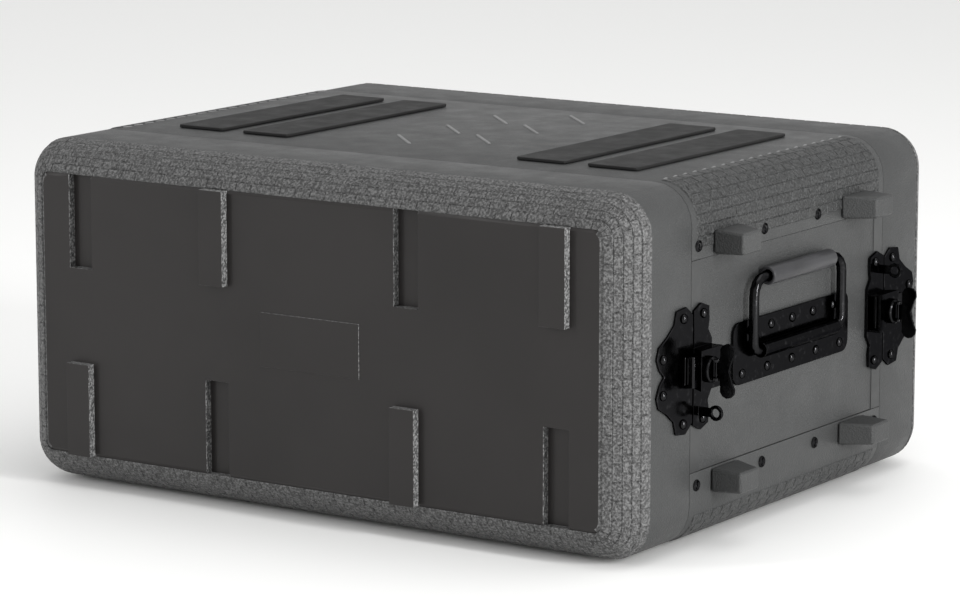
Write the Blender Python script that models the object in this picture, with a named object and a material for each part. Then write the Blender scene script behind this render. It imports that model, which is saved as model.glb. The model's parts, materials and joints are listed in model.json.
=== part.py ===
"""Equipment rack case, four rack units high, closed, with its two covers on.

Frame: +Z up, the front cover faces -Y, and the origin is under the middle of the case, at the
height of the surface that the bottom pads stand on. Metres.
"""

import math

import bmesh
import bpy
from mathutils import Matrix, Vector

# Driving dimensions of the case.
BODY_WIDTH = 0.514
BODY_HEIGHT = 0.2455
BODY_DEPTH = 0.2657
CORNER_RADIUS = 0.028
CORNER_STEPS = 6
GAP = 0.0003

# Shells, side panels and the rim that both carry at each opening.
SKIN = 0.004
SHELL_LEG = 0.0507
RIM_WIDTH = 0.017
RIM_DEPTH = 0.0127
GROOVE_INSET = 0.0068
GROOVE_WIDTH = 0.0034
GROOVE_DEPTH = 0.005
PANEL_THICKNESS = 0.012
PANEL_STEP = 0.0006
PANEL_LAP = 0.021
POCKET_LENGTH = 0.140
POCKET_HEIGHT = 0.111
POCKET_DEPTH = 0.005
POCKET_RADIUS = 0.012

# Ribbed trays inside the top and the bottom.
TRAY_HEIGHT = 0.027
TRAY_WALL = 0.003
TRAY_SLOT = 0.036
TRAY_RIB = 0.028
TRAY_SLOT_DEPTH = 0.018
TRAY_SIDE_GAP = 0.0005
INNER_SLOT_LENGTH = 0.424
OUTER_SLOT_LENGTH = 0.384
SLOT_CHAMFER = 0.012
RAIL_BAY_MARGIN = 0.005
RAIL_BAY_DEPTH = 0.030

# Rack rails, to the 19 inch rack pattern.
RACK_UNITS = 4
UNIT_HEIGHT = 0.04445
UNIT_HOLES = (0.00635, 0.022225, 0.0381)
HOLE_SPAN = 0.465
HOLE_RADIUS = 0.0026
RAIL_OUTER = 0.243
RAIL_WIDTH = 0.0215
RAIL_SHEET = 0.002
RAIL_LENGTH = 0.213
RAIL_CORNER = 0.008
FOOT_LENGTH = 0.0175
FOOT_HEIGHT = 0.0095
TAB_DEPTH = 0.027
FLANGE_DEPTH = 0.012
FLANGE_LENGTH = 0.109

# Flat rubber pads on the top and under the bottom.
PAD_WIDTH = 0.040
PAD_LENGTH = 0.204
PAD_THICKNESS = 0.0022
PAD_CORNER = 0.0025
PAD_CENTRES = (0.1175, 0.175)

# Feet on the sides.
SIDE_FOOT_LENGTH = 0.036
SIDE_FOOT_TIP = 0.024
SIDE_FOOT_HEIGHT = 0.0165
SIDE_FOOT_REACH = 0.0235
SIDE_FOOT_END = 0.106
SIDE_FOOT_ABOVE_SEAM = 0.0008
SIDE_FOOT_DRAFT = 0.001
SIDE_FOOT_EDGE = 0.0014

# Covers.
COVER_FLANGE = 0.050
COVER_BEVEL_DEPTH = 0.026
COVER_BEVEL_INSET = 0.024
COVER_WALL = 0.004
COVER_LIP_WIDTH = 0.013
COVER_LIP_DEPTH = 0.006
TONGUE_CLEARANCE = 0.0003
TONGUE_LENGTH = 0.0023
GASKET_THICKNESS = 0.002
BAR_CENTRES = (-0.200, -0.080, 0.080, 0.200)
BAR_WIDTH = 0.020
BAR_START = 0.034
BAR_HEIGHT = 0.006
BADGE_WIDTH = 0.083
BADGE_HEIGHT = 0.038
BADGE_STEP = 0.0008

# Twist latches. Heights are measured out from the side of the case.
PLATE = 0.0017
LATCH_LENGTH = 0.086
KEEPER_REACH = 0.046
BASE_REACH = 0.024
SEAM_GAP = 0.0008
STRIKE_PLACE = 0.011
STRIKE_WIDTH = 0.018
STRIKE_THICKNESS = 0.0022
STRIKE_HEIGHT = 0.0048
CLAW_THICKNESS = 0.0014
CLAW_CLEARANCE = 0.0004
CLAW_WIDTH = 0.021
CLAW_HOOK = 0.0016
CLAW_PIVOT = 0.019
CLAW_PIN_RADIUS = 0.0013
CLAW_RELEASE = math.radians(6.5)
HOOK_OVERLAP = 0.0025
CHEEK = 0.0016
CHEEK_GAP = 0.0016
BRIDGE_UNDERSIDE = 0.0098
BRIDGE_OVERHANG = 0.005
SPINDLE_PLACE = 0.005
SPINDLE_RADIUS = 0.0034
SPINDLE_CLEARANCE = 0.0004
ROTOR_RADIUS = 0.009
ROTOR_THICKNESS = 0.0025
WING_PIN_HEIGHT = 0.0025
WING_PIN_RADIUS = 0.0012
WING_SPAN = 0.037
WING_TIP = 0.031
WING_SHEET = 0.0018
LOBE_RADIUS = 0.0056
LOBE_NOTCH = 0.0045
EAR_THICKNESS = 0.0018
EAR_RADIUS = 0.0024
EAR_CLEARANCE = 0.0005
EYE_CENTRE = 0.015
EYE_PLACE = 0.008
EYE_OFFSET = 0.030
EYE_OUTER = 0.0053
EYE_INNER = 0.003
EYE_SHEET = 0.0018
PIN_CLEARANCE = 0.0002

# Folding handles.
HANDLE_LENGTH = 0.160
HANDLE_HEIGHT = 0.043
HANDLE_RADIUS = 0.008
BARREL_LENGTH = 0.104
BARREL_RADIUS = 0.0054
BARREL_BORE = 0.0040
BARREL_DEPTH = 0.021
WIRE_RADIUS = 0.0035
BAIL_WIDTH = 0.122
BAIL_REACH = 0.050
BAIL_BEND = 0.012
BAIL_PIN = 0.017
GRIP_LENGTH = 0.088
GRIP_RADIUS = 0.0066
GRIP_CLEARANCE = 0.0004

# How finely round stretches are divided, and where the arcs begin and end.
ARC_STEPS = 4
PIN_SIDES = 10
WIRE_SIDES = 10
HOLE_SIDES = 8
EYE_SIDES = 14
GRIP_SIDES = 14
SPINDLE_SIDES = 16
ROTOR_SIDES = 20
EAR_STEPS = 6
LOBE_STEPS = 7
LOBE_START = math.radians(200)
LOBE_STOP = math.radians(-45)
BEVEL_START = math.radians(12)
BEVEL_STOP = math.radians(72)
SMOOTH_ANGLE = math.radians(35)

# Places that follow from the sizes above.
BODY_BASE = PAD_THICKNESS + GAP
MIDDLE = BODY_BASE + BODY_HEIGHT / 2
HALF_WIDTH = BODY_WIDTH / 2
HALF_HEIGHT = BODY_HEIGHT / 2
HALF_DEPTH = BODY_DEPTH / 2
SEAM = HALF_HEIGHT - SHELL_LEG
RAIL_FACE = HALF_DEPTH - RIM_DEPTH - GAP
RAIL_INNER = RAIL_OUTER - RAIL_WIDTH
INNER_SIDE = HALF_WIDTH - PANEL_THICKNESS


def material(name, colour, roughness, metallic=0.0):
    made = bpy.data.materials.new(name)
    made.use_nodes = True
    shader = made.node_tree.nodes["Principled BSDF"]
    shader.inputs["Base Color"].default_value = (*colour, 1.0)
    shader.inputs["Roughness"].default_value = roughness
    shader.inputs["Metallic"].default_value = metallic
    return made


def add_object(name, mesh, finish=None):
    made = bpy.data.objects.new(name, mesh)
    bpy.context.scene.collection.objects.link(made)
    if finish:
        mesh.materials.append(finish)
    return made


def finished(name, bm, finish=None, smooth=False):
    """Closes a bmesh into an object, with its normals out and its doubles merged."""
    bmesh.ops.remove_doubles(bm, verts=bm.verts, dist=1e-6)
    bmesh.ops.dissolve_degenerate(bm, edges=bm.edges, dist=1e-7)
    bmesh.ops.recalc_face_normals(bm, faces=bm.faces)
    mesh = bpy.data.meshes.new(name)
    bm.to_mesh(mesh)
    bm.free()
    if smooth:
        mesh.shade_smooth()
        mesh.set_sharp_from_angle(angle=SMOOTH_ANGLE)
    return add_object(name, mesh, finish)


def loft(name, rings, finish=None, smooth=False):
    """A solid through rings that have the same number of points, capped at both ends."""
    bm = bmesh.new()
    rows = [[bm.verts.new(point) for point in ring] for ring in rings]
    count = len(rows[0])
    for low, high in zip(rows, rows[1:]):
        for i in range(count):
            j = (i + 1) % count
            bm.faces.new((low[i], low[j], high[j], high[i]))
    bm.faces.new(rows[0])
    bm.faces.new(rows[-1])
    return finished(name, bm, finish, smooth)


def prism(name, outline, axis, low, high, finish=None, smooth=False):
    """Extrudes an outline along an axis: 0 takes (y, z) points, 1 takes (x, z), 2 takes (x, y)."""

    def placed(point, at):
        first, second = point
        return [(at, first, second), (first, at, second), (first, second, at)][axis]

    rings = [[placed(point, at) for point in outline] for at in (low, high)]
    return loft(name, rings, finish, smooth)


def rounded(half_x, half_z, radius, steps=CORNER_STEPS, centre=(0.0, 0.0)):
    """A rectangle with round corners, as points about a centre."""
    points = []
    for corner, (sx, sz) in enumerate(((1, 1), (-1, 1), (-1, -1), (1, -1))):
        for step in range(steps + 1):
            angle = math.radians(90 * corner + 90 * step / steps)
            points.append(
                (
                    centre[0] + sx * (half_x - radius) + radius * math.cos(angle),
                    centre[1] + sz * (half_z - radius) + radius * math.sin(angle),
                )
            )
    return points


def circle(radius, steps, centre=(0.0, 0.0), start=0.0):
    return [
        (
            centre[0] + radius * math.cos(start + 2 * math.pi * k / steps),
            centre[1] + radius * math.sin(start + 2 * math.pi * k / steps),
        )
        for k in range(steps)
    ]


def box(name, low, high, finish=None):
    outline = [(low[0], low[1]), (high[0], low[1]), (high[0], high[1]), (low[0], high[1])]
    return prism(name, outline, 2, low[2], high[2], finish)


def boolean(target, tool, operation):
    tool.hide_render = True
    tool.display_type = "WIRE"
    step = target.modifiers.new(operation.title(), "BOOLEAN")
    step.operation = operation
    step.solver = "EXACT"
    step.object = tool


def cut(target, tool):
    boolean(target, tool, "DIFFERENCE")


def join(target, tool):
    boolean(target, tool, "UNION")


def mirrored(values, side):
    """A pair of ends, low first, on the given side of zero."""
    return sorted(side * value for value in values)


# Shells, panels and trays


def channel(inset, up):
    """The shell's outline at an inset from the outside: down one leg, across and up the other."""
    radius = CORNER_RADIUS - inset
    half_x = HALF_WIDTH - inset
    crown = HALF_HEIGHT - inset
    points = [(half_x, SEAM)]
    for corner, sx in ((0, 1), (1, -1)):
        for step in range(CORNER_STEPS + 1):
            angle = math.radians(90 * corner + 90 * step / CORNER_STEPS)
            points.append(
                (
                    sx * (half_x - radius) + radius * math.cos(angle),
                    crown - radius + radius * math.sin(angle),
                )
            )
    points.append((-half_x, SEAM))
    return [(x, MIDDLE + up * z) for x, z in points]


def shell(name, up, finish, grooves):
    """One channel moulding, with a wide rim at each end and four bosses for the rails' tabs."""
    ends = [-HALF_DEPTH, -HALF_DEPTH + RIM_DEPTH]
    stations = [(y, RIM_WIDTH) for y in ends]
    stations += [(ends[1], SKIN), (-ends[1], SKIN)]
    stations += [(-y, RIM_WIDTH) for y in reversed(ends)]
    rings = []
    for y, inset in stations:
        outline = channel(0.0, up) + channel(inset, up)[::-1]
        rings.append([(x, y, z) for x, z in outline])
    made = loft(name, rings, finish, smooth=True)
    tab_level = RAIL_LENGTH / 2 - FOOT_HEIGHT + RAIL_SHEET + GAP
    boss_z = mirrored((MIDDLE * up + tab_level, MIDDLE * up + HALF_HEIGHT - SKIN / 2), up)
    for side in (-1, 1):
        for end in (-1, 1):
            xs = mirrored((foot_inner() + GAP, RAIL_OUTER - RAIL_CORNER), side)
            ys = mirrored((RAIL_FACE - RAIL_SHEET - TAB_DEPTH, RAIL_FACE - RAIL_SHEET - GAP), end)
            boss = box(name + "_boss", (xs[0], ys[0], boss_z[0]), (xs[1], ys[1], boss_z[1]))
            join(made, boss)
    for groove in grooves:
        cut(made, groove)
    return made


def foot_inner():
    """Half the clear width between the rails' feet."""
    return RAIL_INNER - FOOT_LENGTH


def rim_groove(name, end):
    """The ring-shaped channel in the rim's face that the cover's tongue enters."""
    inner = GROOVE_INSET + GROOVE_WIDTH
    start = end * (HALF_DEPTH + GAP)
    stop = end * (HALF_DEPTH - GROOVE_DEPTH)
    return frame_ring(name, GROOVE_INSET, inner, start, stop)


def frame_ring(name, outer_inset, inner_inset, start, stop, finish=None):
    """A closed rectangular ring with round corners, at insets from the body's outside."""
    rings = []
    for y, inset in (
        (start, outer_inset),
        (stop, outer_inset),
        (stop, inner_inset),
        (start, inner_inset),
    ):
        outline = rounded(HALF_WIDTH - inset, HALF_HEIGHT - inset, CORNER_RADIUS - inset)
        rings.append([(x, y, MIDDLE + z) for x, z in outline])
    bm = bmesh.new()
    rows = [[bm.verts.new(point) for point in ring] for ring in rings]
    count = len(rows[0])
    for low, high in zip(rows, rows[1:] + rows[:1]):
        for i in range(count):
            j = (i + 1) % count
            bm.faces.new((low[i], low[j], high[j], high[i]))
    return finished(name, bm, finish, smooth=True)


def side_panel(name, side, finish, grooves):
    """The flat wall between the shells, lapped behind their legs and rimmed at both ends."""
    tall = SEAM - GAP
    face = HALF_WIDTH - PANEL_STEP
    xs = mirrored((INNER_SIDE, face), side)
    made = box(name, (xs[0], -HALF_DEPTH, MIDDLE - tall), (xs[1], HALF_DEPTH, MIDDLE + tall), finish)
    xs = mirrored((INNER_SIDE, HALF_WIDTH - SKIN - GAP), side)
    deep = HALF_DEPTH - RIM_DEPTH - GAP
    high = tall + PANEL_LAP
    lap = box(name + "_lap", (xs[0], -deep, MIDDLE - high), (xs[1], deep, MIDDLE + high))
    join(made, lap)
    for end in (-1, 1):
        xs = mirrored((HALF_WIDTH - RIM_WIDTH, HALF_WIDTH), side)
        ys = mirrored((HALF_DEPTH - RIM_DEPTH, HALF_DEPTH), end)
        rim = box(name + "_rim", (xs[0], ys[0], MIDDLE - tall), (xs[1], ys[1], MIDDLE + tall))
        join(made, rim)
    middle = (0.0, MIDDLE)
    outline = rounded(POCKET_LENGTH / 2, POCKET_HEIGHT / 2, POCKET_RADIUS, ARC_STEPS, middle)
    xs = mirrored((INNER_SIDE - GAP, INNER_SIDE + POCKET_DEPTH), side)
    cut(made, prism(name + "_pocket", outline, 0, xs[0], xs[1]))
    for groove in grooves:
        cut(made, groove)
    return made


def slot_outline(length, low, high, chamfer, end):
    """A slot's plan, with its two corners nearest the opening cut off at an angle."""
    half = length / 2
    near, far = (low, high) if end > 0 else (-low, -high)
    cut_y = far - end * chamfer
    return [
        (-half, near),
        (half, near),
        (half, cut_y),
        (half - chamfer, far),
        (-half + chamfer, far),
        (-half, cut_y),
    ]


def tray(name, up, finish):
    """A thin ribbed tray: four long slots from above, and hollow ribs open from below."""
    half_x = INNER_SIDE - TRAY_SIDE_GAP
    half_y = RAIL_FACE - GAP
    base = MIDDLE - up * (HALF_HEIGHT - SKIN - GAP)
    top = MIDDLE - up * (HALF_HEIGHT - TRAY_HEIGHT)
    notch_x = foot_inner() - RAIL_BAY_MARGIN
    notch_y = half_y - RAIL_BAY_DEPTH
    outline = []
    for sx, sy in ((1, 1), (-1, 1), (-1, -1), (1, -1)):
        corner = [
            (sx * half_x, sy * notch_y),
            (sx * notch_x, sy * notch_y),
            (sx * notch_x, sy * half_y),
        ]
        outline += corner if sx * sy > 0 else corner[::-1]
    low, high = sorted((base, top))
    made = prism(name, outline, 2, low, high, finish)
    inset = SKIN + GAP
    room = rounded(HALF_WIDTH - inset, HALF_HEIGHT - inset, CORNER_RADIUS - inset, centre=(0.0, MIDDLE))
    boolean(made, prism(name + "_room", room, 1, -half_y - GAP, half_y + GAP), "INTERSECT")
    slot_z = sorted((top - up * TRAY_SLOT_DEPTH, top + up * GAP))
    pitch = TRAY_SLOT + TRAY_RIB
    for end in (-1, 1):
        for place, length, chamfer in (
            (pitch / 2, INNER_SLOT_LENGTH, SLOT_CHAMFER / 2),
            (3 * pitch / 2, OUTER_SLOT_LENGTH, SLOT_CHAMFER),
        ):
            near = place - TRAY_SLOT / 2
            plan = slot_outline(length, near, near + TRAY_SLOT, chamfer, end)
            cut(made, prism(name + "_slot", plan, 2, *slot_z))
    hollow = TRAY_RIB - 2 * TRAY_WALL
    under = sorted((base - up * GAP, top - up * TRAY_WALL))
    for place in (-pitch, 0.0, pitch):
        lows = (-INNER_SLOT_LENGTH / 2, place - hollow / 2, under[0])
        highs = (INNER_SLOT_LENGTH / 2, place + hollow / 2, under[1])
        if place:
            reach = OUTER_SLOT_LENGTH / 2
            lows = (-reach, lows[1], lows[2])
            highs = (reach, highs[1], highs[2])
        cut(made, box(name + "_hollow", lows, highs))
    for side in (-1, 1):
        xs = mirrored((INNER_SLOT_LENGTH / 2 + TRAY_WALL, half_x - TRAY_WALL), side)
        deep = notch_y - TRAY_WALL
        cut(made, box(name + "_side", (xs[0], -deep, under[0]), (xs[1], deep, under[1])))
    return made


def pad(name, x, up, finish):
    bottom = 0.0 if up < 0 else BODY_BASE + BODY_HEIGHT + GAP
    outline = rounded(PAD_WIDTH / 2, PAD_LENGTH / 2, PAD_CORNER, ARC_STEPS // 2, (x, 0.0))
    return prism(name, outline, 2, bottom, bottom + PAD_THICKNESS, finish)


def side_foot(name, side, end, up, finish):
    """A tapering block on the shell's leg, steep towards the opening and sloping behind."""
    low = SEAM + SIDE_FOOT_ABOVE_SEAM
    base_x = HALF_WIDTH + GAP
    tip_x = HALF_WIDTH + SIDE_FOOT_REACH
    rings = []
    for x, length, inset in (
        (base_x, SIDE_FOOT_LENGTH, 0.0),
        (tip_x, SIDE_FOOT_TIP, SIDE_FOOT_DRAFT),
    ):
        near = SIDE_FOOT_END - inset
        ring = [
            (near, low + inset),
            (near, low + SIDE_FOOT_HEIGHT - inset),
            (near - length, low + SIDE_FOOT_HEIGHT - inset),
            (near - length, low + inset),
        ]
        rings.append([(side * x, end * y, MIDDLE + up * z) for y, z in ring])
    made = loft(name, rings, finish)
    soften = made.modifiers.new("Edges", "BEVEL")
    soften.width = SIDE_FOOT_EDGE
    soften.segments = 1
    soften.limit_method = "ANGLE"
    return made


# Rack rails


def rail_outline(side):
    """The rail's face and its two feet, seen from the opening."""
    toe = foot_inner()
    half = RAIL_LENGTH / 2
    points = [(RAIL_INNER, half - FOOT_HEIGHT), (toe, half - FOOT_HEIGHT), (toe, half)]
    for step in range(ARC_STEPS):
        angle = math.pi / 2 * (1 - step / (ARC_STEPS - 1))
        points.append(
            (
                RAIL_OUTER - RAIL_CORNER + RAIL_CORNER * math.cos(angle),
                half - RAIL_CORNER + RAIL_CORNER * math.sin(angle),
            )
        )
    points += [(x, -z) for x, z in reversed(points)]
    return [(side * x, MIDDLE + z) for x, z in points]


def rail(name, side, end, finish):
    """One rack rail: a drilled face, a folded flange and a screwed tab at each foot."""
    front = end * RAIL_FACE
    back = front - end * RAIL_SHEET
    made = prism(name, rail_outline(side), 1, *sorted((front, back)), finish)
    xs = mirrored((RAIL_INNER, RAIL_INNER + RAIL_SHEET), side)
    ys = sorted((front - end * RAIL_SHEET / 2, back - end * (FLANGE_DEPTH - RAIL_SHEET)))
    half = FLANGE_LENGTH / 2
    chamfer = FLANGE_DEPTH / 3
    far = ys[0] if end > 0 else ys[1]
    near = ys[1] if end > 0 else ys[0]
    bend = far + end * chamfer
    flange = [
        (near, MIDDLE - half),
        (bend, MIDDLE - half),
        (far, MIDDLE - half + chamfer),
        (far, MIDDLE + half - chamfer),
        (bend, MIDDLE + half),
        (near, MIDDLE + half),
    ]
    join(made, prism(name + "_flange", flange, 0, *xs))
    level = RAIL_LENGTH / 2 - FOOT_HEIGHT
    for up in (-1, 1):
        xs = mirrored((foot_inner(), RAIL_OUTER - RAIL_CORNER), side)
        ys = sorted((front - end * RAIL_SHEET / 2, back - end * (TAB_DEPTH - RAIL_SHEET)))
        zs = sorted((MIDDLE + up * level, MIDDLE + up * (level + RAIL_SHEET)))
        join(made, box(name + "_tab", (xs[0], ys[0], zs[0]), (xs[1], ys[1], zs[1])))
    low = MIDDLE - RACK_UNITS * UNIT_HEIGHT / 2
    for unit in range(RACK_UNITS):
        for hole in UNIT_HOLES:
            centre = (side * HOLE_SPAN / 2, low + unit * UNIT_HEIGHT + hole)
            ring = circle(HOLE_RADIUS, HOLE_SIDES, centre)
            through = sorted((front + end * GAP, back - end * GAP))
            cut(made, prism(name + "_hole", ring, 1, *through))
    return made


# Covers


def cover_ring(inset, depth, end):
    """A ring of the cover, at a depth out from its mouth."""
    radius = max(CORNER_RADIUS - inset, 0.006)
    outline = rounded(HALF_WIDTH - inset, HALF_HEIGHT - inset, radius)
    y = end * (HALF_DEPTH + GAP + depth)
    return [(x, y, MIDDLE + z) for x, z in outline]


def bevel_stations(offset):
    """(inset, depth) along the rounded shoulder, from the flange to the flat panel."""
    full_in = math.cos(BEVEL_START) - math.cos(BEVEL_STOP)
    full_out = math.sin(BEVEL_STOP) - math.sin(BEVEL_START)
    stations = []
    for step in range(ARC_STEPS + 1):
        angle = BEVEL_START + (BEVEL_STOP - BEVEL_START) * step / ARC_STEPS
        share_in = (math.cos(BEVEL_START) - math.cos(angle)) / full_in
        share_out = (math.sin(angle) - math.sin(BEVEL_START)) / full_out
        depth = COVER_FLANGE - offset / 2 + (COVER_BEVEL_DEPTH - offset / 2) * share_out
        stations.append((offset + COVER_BEVEL_INSET * share_in, depth))
    return stations


def cover(name, end, finish):
    """A dished cover with a tongue round its mouth and four lugs and four recesses outside."""
    depth = COVER_FLANGE + COVER_BEVEL_DEPTH
    tongue_out = GROOVE_INSET + TONGUE_CLEARANCE
    tongue_in = GROOVE_INSET + GROOVE_WIDTH - TONGUE_CLEARANCE
    stations = bevel_stations(0.0)[::-1]
    stations += [
        (0.0, 0.0),
        (tongue_out, 0.0),
        (tongue_out, -TONGUE_LENGTH),
        (tongue_in, -TONGUE_LENGTH),
        (tongue_in, 0.0),
        (COVER_LIP_WIDTH, 0.0),
        (COVER_LIP_WIDTH, COVER_LIP_DEPTH),
        (COVER_WALL, COVER_LIP_DEPTH + COVER_WALL),
    ]
    stations += bevel_stations(COVER_WALL)
    made = loft(name, [cover_ring(*station, end) for station in stations], finish, smooth=True)
    face = HALF_DEPTH + GAP + depth
    top = HALF_HEIGHT - COVER_BEVEL_INSET
    for index, place in enumerate(BAR_CENTRES):
        x = -end * place
        for up in (-1, 1):
            raised = (index % 2 == 1) == (up > 0)
            xs = (x - BAR_WIDTH / 2, x + BAR_WIDTH / 2)
            zs = sorted((MIDDLE + up * BAR_START, MIDDLE + up * (top + BAR_HEIGHT / 3)))
            if raised:
                add_lug(made, xs, zs, face, end)
            else:
                add_recess(made, xs, zs, face, end)
    ys = sorted((end * (face - COVER_WALL / 2), end * (face + BADGE_STEP)))
    half_x, half_z = BADGE_WIDTH / 2, BADGE_HEIGHT / 2
    join(made, box(name + "_badge", (-half_x, ys[0], MIDDLE - half_z), (half_x, ys[1], MIDDLE + half_z)))
    return made


def add_lug(target, xs, zs, face, end):
    ys = sorted((end * (face - COVER_WALL * 0.75), end * (face + BAR_HEIGHT)))
    join(target, box(target.name + "_lug", (xs[0], ys[0], zs[0]), (xs[1], ys[1], zs[1])))


def add_recess(target, xs, zs, face, end):
    """Backs the recess inside the dish with the cover's own wall, then cuts it from outside."""
    ys = sorted((end * (face - COVER_WALL / 2), end * (face - BAR_HEIGHT - COVER_WALL)))
    low = (xs[0] - COVER_WALL, ys[0], zs[0] - COVER_WALL)
    high = (xs[1] + COVER_WALL, ys[1], zs[1] + COVER_WALL)
    join(target, box(target.name + "_back", low, high))
    ys = sorted((end * (face - BAR_HEIGHT), end * (face + BAR_HEIGHT)))
    cut(target, box(target.name + "_recess", (xs[0], ys[0], zs[0]), (xs[1], ys[1], zs[1])))


def gasket(name, end, finish):
    """A rubber ring on the bottom of the rim's groove."""
    start = end * (HALF_DEPTH - GROOVE_DEPTH + GAP)
    stop = end * (HALF_DEPTH - GROOVE_DEPTH + GAP + GASKET_THICKNESS)
    inner = GROOVE_INSET + GROOVE_WIDTH - GAP
    return frame_ring(name, GROOVE_INSET + GAP, inner, start, stop, finish)


# Latches. A latch is drawn at a local place (out, along, up): out from the side of the case,
# along from the seam towards the middle of the body, and up.


def latch_frame(side, end):
    """Carries (out, along, up) to the case, so that both ends keep their eye on the same side."""
    columns = Matrix(((side, 0, 0), (0, -end, 0), (0, 0, -end)))
    origin = Vector((side * HALF_WIDTH, end * HALF_DEPTH, MIDDLE))
    return Matrix.Translation(origin) @ columns.to_4x4()


def settle(made, frame):
    """Puts a piece drawn in the local frame where the frame says, keeping its faces outwards."""
    made.data.transform(frame)
    if frame.determinant() < 0:
        made.data.flip_normals()
    return made


def settle_on_axis(made, frame, axis_point, turn=None):
    """As settle, with the piece's origin on its joint and turned about it at rest."""
    made.data.transform(Matrix.Translation(-Vector(axis_point)))
    if turn is not None:
        made.data.transform(turn)
    rotation = frame.to_3x3().to_4x4()
    made.data.transform(rotation)
    if rotation.determinant() < 0:
        made.data.flip_normals()
    made.location = frame @ Vector(axis_point)
    return made


def keeper_outline():
    """The scalloped half of the butterfly plate that sits on the cover, as (along, up)."""
    half = LATCH_LENGTH / 2
    reach = KEEPER_REACH
    upper = [
        (-SEAM_GAP, half * 0.86),
        (-reach * 0.20, half),
        (-reach * 0.46, half * 0.97),
        (-reach * 0.52, half * 0.76),
        (-reach * 0.72, half * 0.60),
        (-reach * 0.94, half * 0.48),
        (-reach, half * 0.30),
        (-reach * 0.92, half * 0.12),
        (-reach * 0.80, 0.0),
    ]
    return upper + [(v, -w) for v, w in reversed(upper[:-1])]


def base_outline():
    half = LATCH_LENGTH / 2
    reach = BASE_REACH
    upper = [
        (SEAM_GAP, half * 0.90),
        (reach * 0.42, half),
        (reach * 0.84, half * 0.92),
        (reach * 0.86, half * 0.70),
        (reach * 0.80, half * 0.56),
        (reach, half * 0.40),
    ]
    return upper + [(v, -w) for v, w in reversed(upper)]


def keeper(name, frame, finish):
    """The plate on the cover, with the upright strike that the claw hooks over."""
    made = prism(name, keeper_outline(), 0, GAP, GAP + PLATE)
    near = -STRIKE_PLACE + STRIKE_THICKNESS
    strike = box(
        name + "_strike",
        (GAP + PLATE / 2, -STRIKE_PLACE, -STRIKE_WIDTH / 2),
        (STRIKE_HEIGHT, near, STRIKE_WIDTH / 2),
    )
    made.data.materials.append(finish)
    settle(strike, frame)
    join(settle(made, frame), strike)
    return made


def bridge_top():
    return BRIDGE_UNDERSIDE + CHEEK


def latch_base(name, frame, finish):
    """The plate on the body: two cheeks, the bridge that holds the rotor, and a padlock eye."""
    made = prism(name, base_outline(), 0, GAP, GAP + PLATE)
    made.data.materials.append(finish)
    settle(made, frame)
    inside = CLAW_WIDTH / 2 + CHEEK_GAP
    back = BASE_REACH - CHEEK
    front = -BRIDGE_OVERHANG
    tools = []
    for up in (-1, 1):
        ws = mirrored((inside, inside + CHEEK), up)
        cheek = [
            (GAP + PLATE / 2, SEAM_GAP * 2),
            (bridge_top() - CHEEK / 2, front),
            (bridge_top() - CHEEK / 2, back),
            (GAP + PLATE / 2, back),
        ]
        tools.append(prism(name + "_cheek", cheek, 2, *ws))
    low = (BRIDGE_UNDERSIDE, front, -inside - CHEEK)
    tools.append(box(name + "_bridge", low, (bridge_top(), back, inside + CHEEK)))
    stalk = box(
        name + "_stalk",
        (GAP + PLATE / 2, EYE_PLACE - EYE_SHEET / 2, -EYE_OFFSET - EYE_INNER),
        (EYE_CENTRE - EYE_INNER - EYE_SHEET / 2, EYE_PLACE + EYE_SHEET / 2, -EYE_OFFSET + EYE_INNER),
    )
    ring = circle(EYE_OUTER, EYE_SIDES, (EYE_CENTRE, -EYE_OFFSET))
    eye = prism(name + "_eye", ring, 1, EYE_PLACE - EYE_SHEET / 2, EYE_PLACE + EYE_SHEET / 2)
    for tool in (*tools, stalk, eye):
        join(made, settle(tool, frame))
    bore = circle(EYE_INNER, EYE_SIDES, (EYE_CENTRE, -EYE_OFFSET))
    hole = prism(name + "_eyehole", bore, 1, EYE_PLACE - EYE_SHEET, EYE_PLACE + EYE_SHEET)
    cut(made, settle(hole, frame))
    bore = circle(SPINDLE_RADIUS + SPINDLE_CLEARANCE, SPINDLE_SIDES, (SPINDLE_PLACE, 0.0))
    hole = prism(name + "_bore", bore, 0, BRIDGE_UNDERSIDE - GAP, bridge_top() + GAP)
    cut(made, settle(hole, frame))
    reach = inside + 2 * CHEEK
    bore = circle(CLAW_PIN_RADIUS + SPINDLE_CLEARANCE, PIN_SIDES, claw_axis())
    cut(made, settle(prism(name + "_pinhole", bore, 2, -reach, reach), frame))
    return made


def claw_axis():
    """Where the claw hinges, as (out, along)."""
    return (STRIKE_HEIGHT + CLAW_CLEARANCE + CLAW_THICKNESS / 2, CLAW_PIVOT)


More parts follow.
